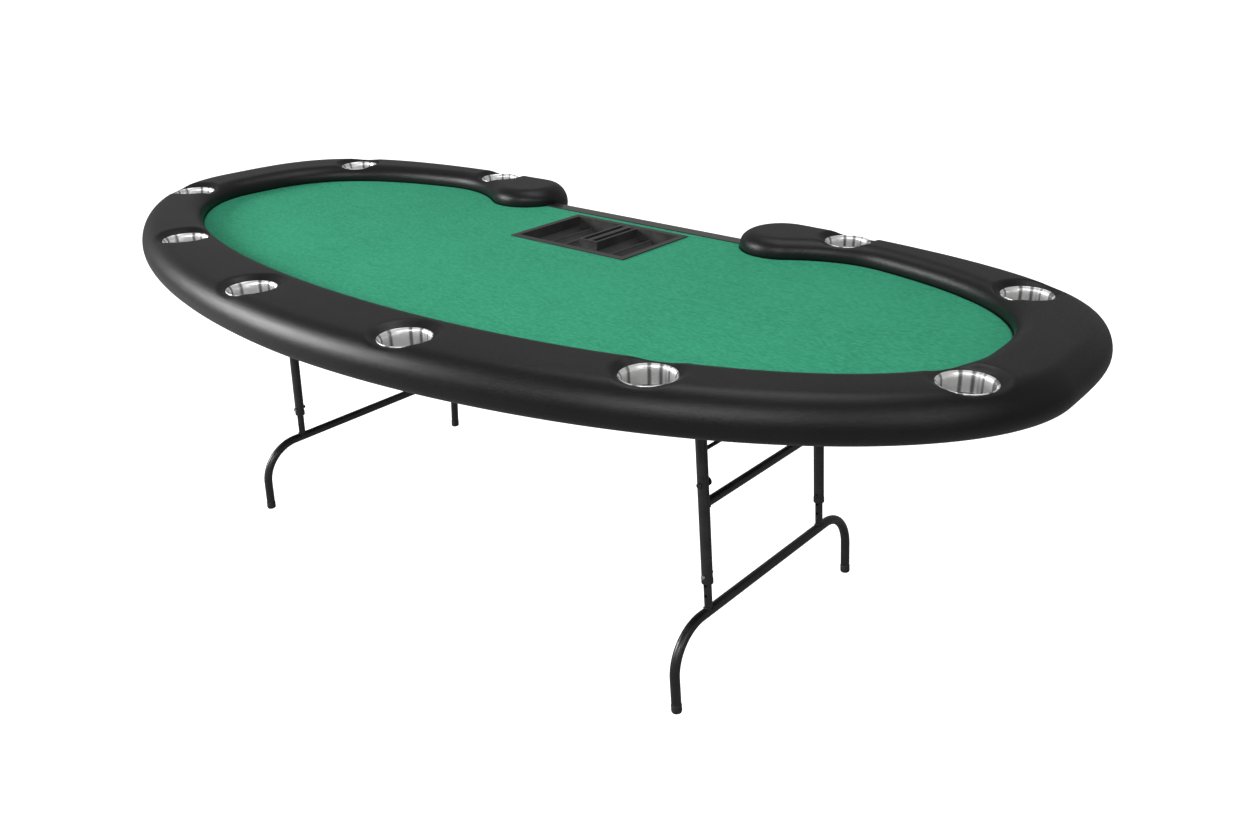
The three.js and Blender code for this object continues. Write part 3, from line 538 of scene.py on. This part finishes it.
def dress(node, slot, edge=0.0, segments=2):
    """Gives a CAD node its material and, with an edge width, rounded edges."""
    shown = frame["nodes"][node]
    shown.data.materials.clear()
    shown.data.materials.append(MATERIALS[slot])
    if edge:
        flat = shown.modifiers.new("flat", "DECIMATE")
        flat.decimate_type = "DISSOLVE"
        flat.angle_limit = FLAT_WITHIN
        rounded = shown.modifiers.new("edges", "BEVEL")
        rounded.width = edge
        rounded.segments = segments
        rounded.limit_method = "ANGLE"
        rounded.angle_limit = ROUND_OVER
        rounded.harden_normals = True


# ---- Outlines --------------------------------------------------------------------------------


def oval_turn(half, x, power):
    return math.acos((x / half) ** (power / 2))


def oval_points(half, front, back, end_x, powers):
    """The oval from (-end_x, back) round the front to (end_x, back), closely spaced."""
    end = oval_turn(half, end_x, powers[1])
    nearing = np.linspace(0, 1, BACK_STEPS) ** 1.5
    round_front = np.linspace(math.pi, 2 * math.pi, FRONT_STEPS)[1:-1]
    turns = np.concatenate([math.pi - end * nearing[::-1], round_front, 2 * math.pi + end * nearing])
    across, along = np.cos(turns), np.sin(turns)
    along = np.where(np.abs(along) < 1e-12, 0, along)
    squareness = np.where(along < 0, 2 / powers[0], 2 / powers[1])
    x = half * np.sign(across) * np.abs(across) ** squareness
    y = np.where(along < 0, -front, back) * np.abs(along) ** squareness
    return np.stack([x, y + MIDDLE_Y], 1)


def outer_points(inset=0.0, end_x=RAIL_END_X):
    half = PAD_HIGH.x
    turn = oval_turn(half, RAIL_END_X, OUTER_POWERS[1])
    back = (PAD_HIGH.y - MIDDLE_Y) / math.sin(turn) ** (2 / OUTER_POWERS[1])
    front = MIDDLE_Y - PAD_LOW.y
    return oval_points(half - inset, front - inset, back - inset, end_x, OUTER_POWERS)


def inner_points(gap=0.0):
    """The inner wall of the rail, drawn in by gap. It flares to meet the round ends."""
    half, front, back = INNER_HALF - gap, INNER_FRONT - gap, INNER_BACK - gap
    radius = RAIL_END_RADIUS + gap
    meet_x = RAIL_END_X + radius * math.sin(FLARE_ANGLE)
    meet_y = RAIL_END_Y - radius * math.cos(FLARE_ANGLE)
    wall = oval_points(half, front, back, meet_x, INNER_POWERS)
    flare = wall[0, 1] - meet_y
    reach = (meet_x + FLARE_LENGTH - np.abs(wall[:, 0])) / FLARE_LENGTH
    flared = (wall[:, 1] > MIDDLE_Y) & (reach > 0)
    wall[:, 1] -= np.where(flared, flare * reach**2, 0)
    return wall


def end_arc(side, radius, angles):
    """Points on the round end of the rail. Angle 0 is its nose and 90 degrees its back."""
    x = side * (RAIL_END_X - radius * np.cos(angles))
    y = RAIL_END_Y + radius * np.sin(angles)
    return np.stack([x, y], 1)


def respaced(points, count):
    steps = np.hypot(*np.diff(points, axis=0).T)
    travel = np.concatenate([[0], np.cumsum(steps)])
    wanted = np.linspace(0, travel[-1], count)
    return np.stack([np.interp(wanted, travel, points[:, axis]) for axis in (0, 1)], 1)


def nearest(points, loop):
    """Distance from each point to a closed loop."""
    start, end = loop, np.roll(loop, -1, axis=0)
    run = end - start
    square = (run**2).sum(1) + 1e-18
    far = []
    for part in np.array_split(points, max(len(points) // 800, 1)):
        gap = part[:, None] - start[None]
        share = np.clip((gap * run).sum(2) / square, 0, 1)
        miss = gap - share[..., None] * run
        far.append(np.sqrt((miss**2).sum(2).min(1)))
    return np.concatenate(far)


def eased(value):
    value = np.clip(value, 0, 1)
    return value * value * (3 - 2 * value)


# ---- Padded rail -----------------------------------------------------------------------------


def rail_ribs():
    """Matching points on the outer and inner outline of the rail, from the left nose to the right one."""
    turned = np.linspace(0, 1, END_RIBS, endpoint=False)
    under = -(math.pi / 2 + FLARE_ANGLE)
    outer = [end_arc(-1, RAIL_END_RADIUS, turned * math.pi / 2)]
    inner = [end_arc(-1, RAIL_END_RADIUS, turned * under)]
    outer.append(respaced(outer_points(), MAIN_RIBS))
    inner.append(respaced(inner_points(), MAIN_RIBS))
    outer.append(end_arc(1, RAIL_END_RADIUS, turned[::-1] * math.pi / 2))
    inner.append(end_arc(1, RAIL_END_RADIUS, turned[::-1] * under))
    return np.concatenate(outer), np.concatenate(inner)


def deck_crossing(outer, inner):
    """How far along each rib the deck's edge is, or 1 where the rib misses the deck."""
    edge = np.concatenate([outer_points(SKIRT - DECK_GAP, DECK_NOTCH_X), [[DECK_NOTCH_X, DECK_BACK_Y]]])
    edge = np.concatenate([edge, [[-DECK_NOTCH_X, DECK_BACK_Y]]])

    def over_deck(points):
        start, end = edge, np.roll(edge, -1, axis=0)
        x, y = points[:, :1], points[:, 1:]
        straddles = (start[:, 1] > y) != (end[:, 1] > y)
        slope = (end[:, 0] - start[:, 0]) / (end[:, 1] - start[:, 1] + 1e-15)
        crosses = straddles & (x < slope * (y - start[:, 1]) + start[:, 0])
        return crosses.sum(1) % 2 == 1

    shares = np.linspace(0, 1, 121)
    crossing = np.ones(len(outer))
    for share in shares[::-1]:
        inside = over_deck(outer + (inner - outer) * share)
        crossing = np.where(inside & (crossing >= share), share, crossing)
    return np.where(over_deck(inner), crossing, 1.0)


def pad_top(depth, across, dome):
    """Height of the padding, from the distance to its nearest edge and the place across it."""
    radius = OUTER_SHOULDER + (INNER_SHOULDER - OUTER_SHOULDER) * across
    fall = np.clip(1 - depth / radius, 0, 1)
    shoulder = radius * (1 - np.sqrt(1 - fall**2))
    crown = CROWN_DROP * np.clip(1 - depth / CROWN_REACH, 0, 1) ** 2
    domed = DOME_DROP * dome * np.clip(1 - 2 * across, 0, 1) ** 2
    return PAD_HIGH.z - shoulder - crown * (1 - across) - domed


def rail_padding():
    outer, inner = rail_ribs()
    ribs = len(outer)
    loop = np.concatenate([outer, inner[-2:0:-1]])
    order = np.arange(ribs)
    dome = eased(np.minimum(order, ribs - 1 - order) / (2 * END_RIBS))
    shares = 0.5 - 0.5 * np.cos(np.linspace(0, math.pi, ACROSS + 1))
    rows = []
    for share in shares:
        spot = outer + (inner - outer) * share
        height = pad_top(nearest(spot, loop), np.full(ribs, share), dome)
        rows.append(np.column_stack([spot, height]))
    crossing = deck_crossing(outer, inner)
    missed = crossing >= 1
    seat = DECK_HIGH.z + DECK_SEAT_GAP
    inner_low = np.where(missed, PAD_LOW.z + BOTTOM_ROUND, seat)
    inner_high = rows[-1][:, 2]
    for step in range(1, WALL_ROWS + 1):
        height = inner_high + (inner_low - inner_high) * step / WALL_ROWS
        tuck = INNER_TUCK * (step / WALL_ROWS) ** 3 * ~missed
        spot = inner + (outer - inner) * tuck[:, None] / np.hypot(*(inner - outer).T)[:, None].clip(0.02)
        rows.append(np.column_stack([spot, height]))
    cross = outer + (inner - outer) * crossing[:, None]
    rows.append(np.column_stack([cross, inner_low]))
    for step in range(UNDER_ROWS, -1, -1):
        share = crossing * (1 - math.cos(math.pi / 2 * step / UNDER_ROWS))
        spot = outer + (inner - outer) * share[:, None]
        fall = np.clip(1 - nearest(spot, loop) / BOTTOM_ROUND, 0, 1)
        rows.append(np.column_stack([spot, PAD_LOW.z + BOTTOM_ROUND * (1 - np.sqrt(1 - fall**2))]))
    outer_high = rows[0][:, 2]
    outer_low = PAD_LOW.z + BOTTOM_ROUND
    for step in range(1, WALL_ROWS):
        height = outer_low + (outer_high - outer_low) * step / WALL_ROWS
        rows.append(np.column_stack([outer, height]))
    grid = np.stack(rows)
    sink_for_cups(grid[: ACROSS + 1])
    bm = bmesh.new()
    verts = [[bm.verts.new(point) for point in row] for row in grid]
    for here, there in zip(verts, verts[1:] + verts[:1]):
        for k in range(ribs - 1):
            bm.faces.new((here[k], here[k + 1], there[k + 1], there[k]))
    bmesh.ops.remove_doubles(bm, verts=bm.verts, dist=MERGE_WITHIN)
    cut_cup_holes(bm)
    pad = piece("rail_padding_vinyl", bm, "rail_vinyl", "table", ["rail_padding"], math.radians(50))


def sink_for_cups(top):
    """The padding falls away round each cup holder's rim."""
    rim_seat = CUP_TOP - CUP_RIM_SEAT
    for centre in CUP_CENTRES.values():
        away = np.hypot(top[..., 0] - centre.x, top[..., 1] - centre.y)
        share = np.clip((away - CUP_RADIUS - 0.0005) / CUP_DIP_REACH, 0, 1)
        rise = np.sin(share * math.pi / 2) ** 1.5
        sunk = rim_seat + (top[..., 2] - rim_seat) * rise
        top[..., 2] = np.where(top[..., 2] > rim_seat, sunk, top[..., 2])


def cut_cup_holes(bm):
    """Opens a round hole for each cup and turns its lip down inside."""
    bm.verts.ensure_lookup_table()
    for centre in CUP_CENTRES.values():
        near = [v for v in bm.verts if (v.co.xy - centre.xy).length < CUP_RADIUS + 0.02]
        upper = [v for v in near if v.co.z > CUP_TOP - 0.012]
        inside = [v for v in upper if (v.co.xy - centre.xy).length < CUP_HOLE - 0.0005]
        rim = {w for v in inside for e in v.link_edges for w in e.verts} - set(inside)
        bmesh.ops.delete(bm, geom=inside, context="VERTS")
        open_edges = [e for e in bm.edges if e.is_boundary]
        edges = [e for e in open_edges if (e.verts[0].co.xy - centre.xy).length < CUP_RADIUS + 0.01]
        rim |= {w for e in edges for w in e.verts}
        for vert in rim:
            outward = (vert.co.xy - centre.xy).normalized() * CUP_HOLE
            vert.co = Vector((centre.x + outward.x, centre.y + outward.y, CUP_TOP - CUP_LIP_DROP))
        lip = bmesh.ops.extrude_edge_only(bm, edges=edges)["geom"]
        lowered = [v for v in lip if isinstance(v, bmesh.types.BMVert)]
        bmesh.ops.translate(bm, verts=lowered, vec=(0, 0, -CUP_LIP_LENGTH))


# ---- Playing surface -------------------------------------------------------------------------


def cloth_loop(inset):
    """The cloth's outline, drawn in by inset from its edge."""
    gap = CLOTH_GAP + inset
    radius = RAIL_END_RADIUS + gap
    level = math.asin((CLOTH_BACK_Y - inset - RAIL_END_Y) / radius)
    angles = np.linspace(level, -(math.pi / 2 + FLARE_ANGLE), CLOTH_END_STEPS)
    left = end_arc(-1, radius, angles)
    right = end_arc(1, radius, angles[::-1])
    return np.concatenate([left[:-1], respaced(inner_points(gap), CLOTH_STEPS), right[1:]])


def tray_hole(inset):
    """The cloth's opening for the tray, under its flange."""
    low = Vector((TRAY_LOW.x + TRAY_LAP - inset, TRAY_LOW.y + TRAY_LAP - inset))
    high = Vector((TRAY_HIGH.x - TRAY_LAP + inset, TRAY_HIGH.y - TRAY_LAP + inset))
    return np.array([[low.x, low.y], [high.x, low.y], [high.x, high.y], [low.x, high.y]])


def layered(bm, loops, heights):
    """Joins closed loops of equal length, one above the other, and returns the vertices of each."""
    made = []
    for loop, height in zip(loops, heights):
        made.append([bm.verts.new((x, y, height)) for x, y in loop])
    for below, above in zip(made, made[1:]):
        join_rings(bm, below, above)
    return made


def fill_between(bm, loops):
    """Fills the flat area between an outline and the hole in it."""
    edges = []
    for loop in loops:
        for k, vert in enumerate(loop):
            following = loop[(k + 1) % len(loop)]
            edges.append(bm.edges.get((vert, following)) or bm.edges.new((vert, following)))
    bmesh.ops.triangle_fill(bm, use_beauty=True, use_dissolve=False, edges=edges)


def playing_surface():
    """The cloth, with its edges rolled over, and the foam pad under it."""
    bm = bmesh.new()
    insets = [0.0, 0.0, 0.0006, 0.0018, 0.0045]
    drops = [0.0030, 0.0018, 0.0008, 0.0002, 0.0]
    heights = [CLOTH_HIGH.z - drop for drop in drops]
    outside = layered(bm, [cloth_loop(inset) for inset in insets], heights)
    hole = layered(bm, [tray_hole(inset) for inset in insets], heights)
    fill_between(bm, [outside[-1], hole[-1]])
    cloth = piece("speed_cloth_top", bm, "speed_cloth", "table", ["playing_surface"], math.radians(60))
    foam = bmesh.new()
    levels = [CLOTH_LOW.z, CLOTH_HIGH.z - FOAM_DROP]
    sides = layered(foam, [cloth_loop(FOAM_INSET)] * 2, levels)
    inside = layered(foam, [tray_hole(FOAM_INSET)] * 2, levels)
    for level in (0, 1):
        fill_between(foam, [sides[level], inside[level]])
    pad = piece("cloth_foam", foam, "speed_cloth", "table")


# ---- Cup holders -----------------------------------------------------------------------------


def cup_profile():
    """Inside and outside of a drawn cup with a rolled rim, heights from the rim's top."""
    rim = CUP_RADIUS
    inside = rim - CUP_MOUTH_STEP
    floor_level = CUP_WALL - CUP_DEPTH
    outside = [(0, -CUP_DEPTH), (0.036, -CUP_DEPTH), (0.0405, -CUP_DEPTH + 0.0012)]
    outside += [(0.0430, -CUP_DEPTH + 0.0045), (0.0437, -CUP_DEPTH + 0.010)]
    outside += [(0.0446, -0.0110), (0.0450, -0.0064), (0.0460, -0.0042)]
    roll = [(rim - 0.0009, -0.0026), (rim - 0.0001, -0.0019), (rim, -0.0011), (rim - 0.0006, -0.0003)]
    roll += [(rim - 0.0014, -0.0001), (rim - 0.0024, -0.0009), (rim - 0.0040, -0.0030)]
    roll += [(rim - 0.0054, -0.0060)]
    well = [(inside, -0.0100), (inside - 0.0003, -0.0160), (inside - 0.0012, -CUP_DEPTH + 0.011)]
    well += [(inside - 0.0022, -CUP_DEPTH + 0.0055), (inside - 0.0052, floor_level + 0.0012)]
    well += [(0.036, floor_level + 0.0003), (0.030, floor_level)]
    well += [(0.0285, floor_level + 0.0008), (0, floor_level + 0.0008)]
    return outside + roll + well


def cup_holders():
    for name, centre in CUP_CENTRES.items():
        bm = bmesh.new()
        spot = Vector((centre.x, centre.y, CUP_TOP))
        lathe(bm, cup_profile(), spot, (0, 0, 1), 96)
        piece(f"{name}_drawn", bm, "brushed_steel", "table", [name], math.radians(50), origin=spot)


# ---- Leg sets --------------------------------------------------------------------------------


def leg_point(side, y, drop, out=0.0):
    """A point on a leg set: y from its middle, drop down the leg, out away from the table's middle."""
    x = HINGE_X + drop * math.sin(SPLAY) + out * math.cos(SPLAY)
    z = HINGE_Z - drop * math.cos(SPLAY) + out * math.sin(SPLAY)
    return Vector((side * x, MIDDLE_Y + y, z))


def down_leg(side):
    """The way down along a leg set."""
    return Vector((side * math.sin(SPLAY), 0, -math.cos(SPLAY)))


def leg_frame(name, side):
    """Two tubes with a sleeve collar, a pin boss on each and a crossbar between them."""
    bm = bmesh.new()
    down = down_leg(side)
    collar = LEG_RADIUS + COLLAR_STEP
    collar_top = SLEEVE_LENGTH - COLLAR_LENGTH
    profile = [(0, -LEG_HEAD), (LEG_RADIUS - 0.002, -LEG_HEAD)]
    profile += [(LEG_RADIUS - 0.0006, -LEG_HEAD + 0.0005), (LEG_RADIUS, -LEG_HEAD + 0.002)]
    profile += [(LEG_RADIUS, collar_top - 0.002), (collar, collar_top)]
    profile += [(collar, SLEEVE_LENGTH - 0.0008), (collar - 0.0008, SLEEVE_LENGTH)]
    profile += [(LEG_BORE + 0.0002, SLEEVE_LENGTH), (LEG_BORE, SLEEVE_LENGTH - 0.0008)]
    profile += [(LEG_BORE, BORE_TOP), (0, BORE_TOP)]
    for end in (1, -1):
        lathe(bm, profile, leg_point(side, end * LEG_Y, 0), down)
        inward = (0, -end, 0)
        weld(bm, leg_point(side, end * LEG_Y, CROSSBAR_DROP), inward, down, CROSSBAR_RADIUS, LEG_RADIUS)
        boss = [(0, 0.0158), (0.0030, 0.0158), (0.0042, 0.0146), (0.0045, 0.0125), (0.0045, 0.009)]
        lathe(bm, boss, leg_point(side, end * LEG_Y, PIN_DROP), inward, 24)
    tube(bm, [leg_point(side, y, CROSSBAR_DROP) for y in (-LEG_Y, LEG_Y)], CROSSBAR_RADIUS)
    piece(f"{name}_tubes", bm, "powder_coat", f"leg_{side_name(side)}", [name])


def side_name(side):
    return "right" if side > 0 else "left"


def foot_path(side):
    """The middle line of the foot bar, from its front foot up, along and down to its back foot."""
    tip = FLOOR_DROP - CAP_HEIGHT
    bend_drop = FOOT_BAR_DROP + FOOT_BEND
    half_bar = FOOT_Y - FOOT_BEND
    bend = []
    for k in range(BEND_STEPS + 1):
        turn = math.pi / 2 * k / BEND_STEPS
        bend.append((half_bar + FOOT_BEND * math.cos(turn), bend_drop - FOOT_BEND * math.sin(turn)))
    front = [(-FOOT_Y, tip)] + [(-y, drop) for y, drop in bend]
    back = bend[::-1] + [(FOOT_Y, tip)]
    return [leg_point(side, y, drop) for y, drop in front + back]


def foot_frame(name, side):
    """The bent foot bar, and two slides with adjusting holes that run up inside the legs."""
    down = down_leg(side)
    body = f"foot_{side_name(side)}"
    bm = bmesh.new()
    tube(bm, foot_path(side), FOOT_BAR_RADIUS)
    for end in (1, -1):
        weld(bm, leg_point(side, end * LEG_Y, FOOT_BAR_DROP), -down, (0, 1, 0), SLIDE_RADIUS, FOOT_BAR_RADIUS)
    piece(f"{name}_bar", bm, "powder_coat", body, [name])
    bore = SLIDE_RADIUS - SLIDE_WALL
    for end, row in ((1, "back"), (-1, "front")):
        bm = bmesh.new()
        profile = [(bore, SLIDE_TOP), (SLIDE_RADIUS, SLIDE_TOP), (SLIDE_RADIUS, SLIDE_END), (bore, SLIDE_END)]
        lathe(bm, profile, leg_point(side, end * LEG_Y, 0), down, closed=True)
        slide = piece(f"{name}_slide_{row}", bm, "powder_coat", body)
        cutters = []
        for index in range(HOLE_COUNT):
            cutter = bmesh.new()
            spot = leg_point(side, end * LEG_Y, PIN_DROP + HOLE_PITCH * index)
            hole = [(0, -HOLE_REACH), (HOLE_RADIUS, -HOLE_REACH), (HOLE_RADIUS, HOLE_REACH), (0, HOLE_REACH)]
            lathe(cutter, hole, spot, (0, 1, 0), 24)
            cutters.append(cutter)
        carve(slide, cutters)


def foot_cap(name, side, end):
    """A rubber cap on the end of the foot bar, flat on the floor."""
    down = down_leg(side)
    bm = bmesh.new()
    top = FLOOR_DROP - CAP_HEIGHT
    bottom = FLOOR_DROP + 0.0015
    profile = [(0, top), (0.0086, top), (CAP_RADIUS - 0.0010, top + 0.0004), (CAP_RADIUS, top + 0.0020)]
    profile += [(CAP_RADIUS, top + 0.0040), (CAP_RADIUS - 0.0004, top + 0.0046)]
    profile += [(CAP_RADIUS - 0.0002, top + 0.006)]
    profile += [(CAP_RADIUS, bottom - 0.0045), (CAP_RADIUS - 0.0012, bottom - 0.0015), (0, bottom)]
    lathe(bm, profile, leg_point(side, end * FOOT_Y, 0), down)
    for vert in bm.verts:
        vert.co.z = max(vert.co.z, 0.0)
    piece(f"{name}_moulded", bm, "foot_rubber", f"foot_{side_name(side)}", [name])


def height_pin(name, body, side, end):
    """A spring pin with a round knob outside the leg."""
    bm = bmesh.new()
    outside = LEG_RADIUS + 0.0003
    profile = [(0, LEG_BORE + 0.0003), (0.003, LEG_BORE + 0.0003), (0.003, outside), (0.0041, outside)]
    profile += [(0.0045, outside + 0.0006), (0.0045, 0.0140), (0.0040, 0.0154), (0.0025, 0.0160), (0, 0.0160)]
    lathe(bm, profile, leg_point(side, end * LEG_Y, PIN_DROP), (0, end, 0), 28)
    piece(f"{name}_turned", bm, "zinc_steel", body, [name])


def leg_sets():
    for side_word, side in SIDES.items():
        leg_frame(f"leg_frame_{side_word}", side)
        foot_frame(f"foot_frame_{side_word}", side)
        for row, end in ROWS.items():
            place = f"{side_word}_{row}"
            foot_cap(f"foot_cap_{place}", side, end)
            height_pin(f"height_pin_{place}", f"pin_{place}", side, end)
            dress(f"hinge_bracket_{place}", "powder_coat", STRIP_EDGE)
            dress(f"brace_pivot_{place}", "powder_coat", BOLT_EDGE)
        for part in ("brace_lower", "brace_upper", "brace_bracket"):
            dress(f"{part}_{side_word}", "powder_coat", STRIP_EDGE)
        dress(f"hinge_rod_{side_word}", "zinc_steel", BOLT_EDGE)


# ---- Stage -----------------------------------------------------------------------------------

CAMERA_PLACE = Vector((1.7108, MIDDLE_Y - 1.6986, 1.4008))
CAMERA_YAW = math.radians(39.69)
CAMERA_PITCH = math.radians(24.61)
CAMERA_ROLL = math.radians(-0.92)
CAMERA_LENS = 32.752
CAMERA_SHIFT = (-0.0083, 0.0055)
SURROUND_LIGHT = 0.34


def camera():
    forwards = Vector((
        -math.sin(CAMERA_YAW) * math.cos(CAMERA_PITCH),
        math.cos(CAMERA_YAW) * math.cos(CAMERA_PITCH),
        -math.sin(CAMERA_PITCH),
    ))
    right = Vector((math.cos(CAMERA_YAW), math.sin(CAMERA_YAW), 0))
    up = right.cross(forwards)
    rolled_right = right * math.cos(CAMERA_ROLL) + up * math.sin(CAMERA_ROLL)
    rolled_up = up * math.cos(CAMERA_ROLL) - right * math.sin(CAMERA_ROLL)
    data = bpy.data.cameras.new("camera")
    data.lens = CAMERA_LENS
    data.shift_x, data.shift_y = CAMERA_SHIFT
    data.clip_end = 60
    eye = bpy.data.objects.new("camera", data)
    axes = Matrix((rolled_right, rolled_up, -forwards)).transposed()
    eye.matrix_world = Matrix.Translation(CAMERA_PLACE) @ axes.to_4x4()
    bpy.context.scene.collection.objects.link(eye)
    bpy.context.scene.camera = eye


def floor():
    bm = bmesh.new()
    bmesh.ops.create_grid(bm, x_segments=2, y_segments=2, size=30)
    mesh = bpy.data.meshes.new("floor")
    bm.to_mesh(mesh)
    bm.free()
    mesh.materials.append(floor_finish())
    ground = bpy.data.objects.new("floor", mesh)
    bpy.context.scene.collection.objects.link(ground)


def softbox(name, place, target, size, power):
    data = bpy.data.lights.new(name, "AREA")
    data.shape = "RECTANGLE"
    data.size, data.size_y = size
    data.energy = power
    light = bpy.data.objects.new(name, data)
    light.location = place
    aim = (Vector(target) - Vector(place)).to_track_quat("-Z", "Y")
    light.rotation_mode = "QUATERNION"
    light.rotation_quaternion = aim
    bpy.context.scene.collection.objects.link(light)


def studio():
    """White behind the table, with dimmer light all round it and four soft boxes."""
    world = bpy.data.worlds.new("studio")
    bpy.context.scene.world = world
    world.use_nodes = True
    nodes, links = world.node_tree.nodes, world.node_tree.links
    seen = nodes["Background"]
    seen.inputs["Strength"].default_value = 1.0
    seen.inputs["Color"].default_value = (1, 1, 1, 1)
    lighting = nodes.new("ShaderNodeBackground")
    lighting.inputs["Strength"].default_value = SURROUND_LIGHT
    path = nodes.new("ShaderNodeLightPath")
    both = nodes.new("ShaderNodeMixShader")
    links.new(path.outputs["Is Camera Ray"], both.inputs[0])
    links.new(lighting.outputs[0], both.inputs[1])
    links.new(seen.outputs[0], both.inputs[2])
    links.new(both.outputs[0], nodes["World Output"].inputs["Surface"])
    softbox("overhead", (0.2, 0.5, 3.4), (0, 0, 0.7), (2.6, 1.4), 26)
    softbox("front_left", (-3.6, -2.8, 2.0), (-0.1, -0.5, 0.7), (1.9, 1.3), 190)
    softbox("front", (1.5, -3.6, 2.5), (0.3, -0.4, 0.7), (2.0, 0.6), 60)
    softbox("right", (3.8, -1.4, 2.2), (0.3, 0, 0.6), (0.7, 1.8), 20)
    bpy.context.scene.view_settings.view_transform = "Standard"


# ---- The table -------------------------------------------------------------------------------

camera()
floor()
studio()
rail_padding()
playing_surface()
cup_holders()
leg_sets()
dress("deck_panel", "plywood", BOARD_EDGE)
dress("rail_core", "plywood", BOARD_EDGE)
dress("dealer_edge_trim", "edge_trim", BOARD_EDGE, 3)
dress("chip_tray", "moulded_tray", TRAY_EDGE, 3)
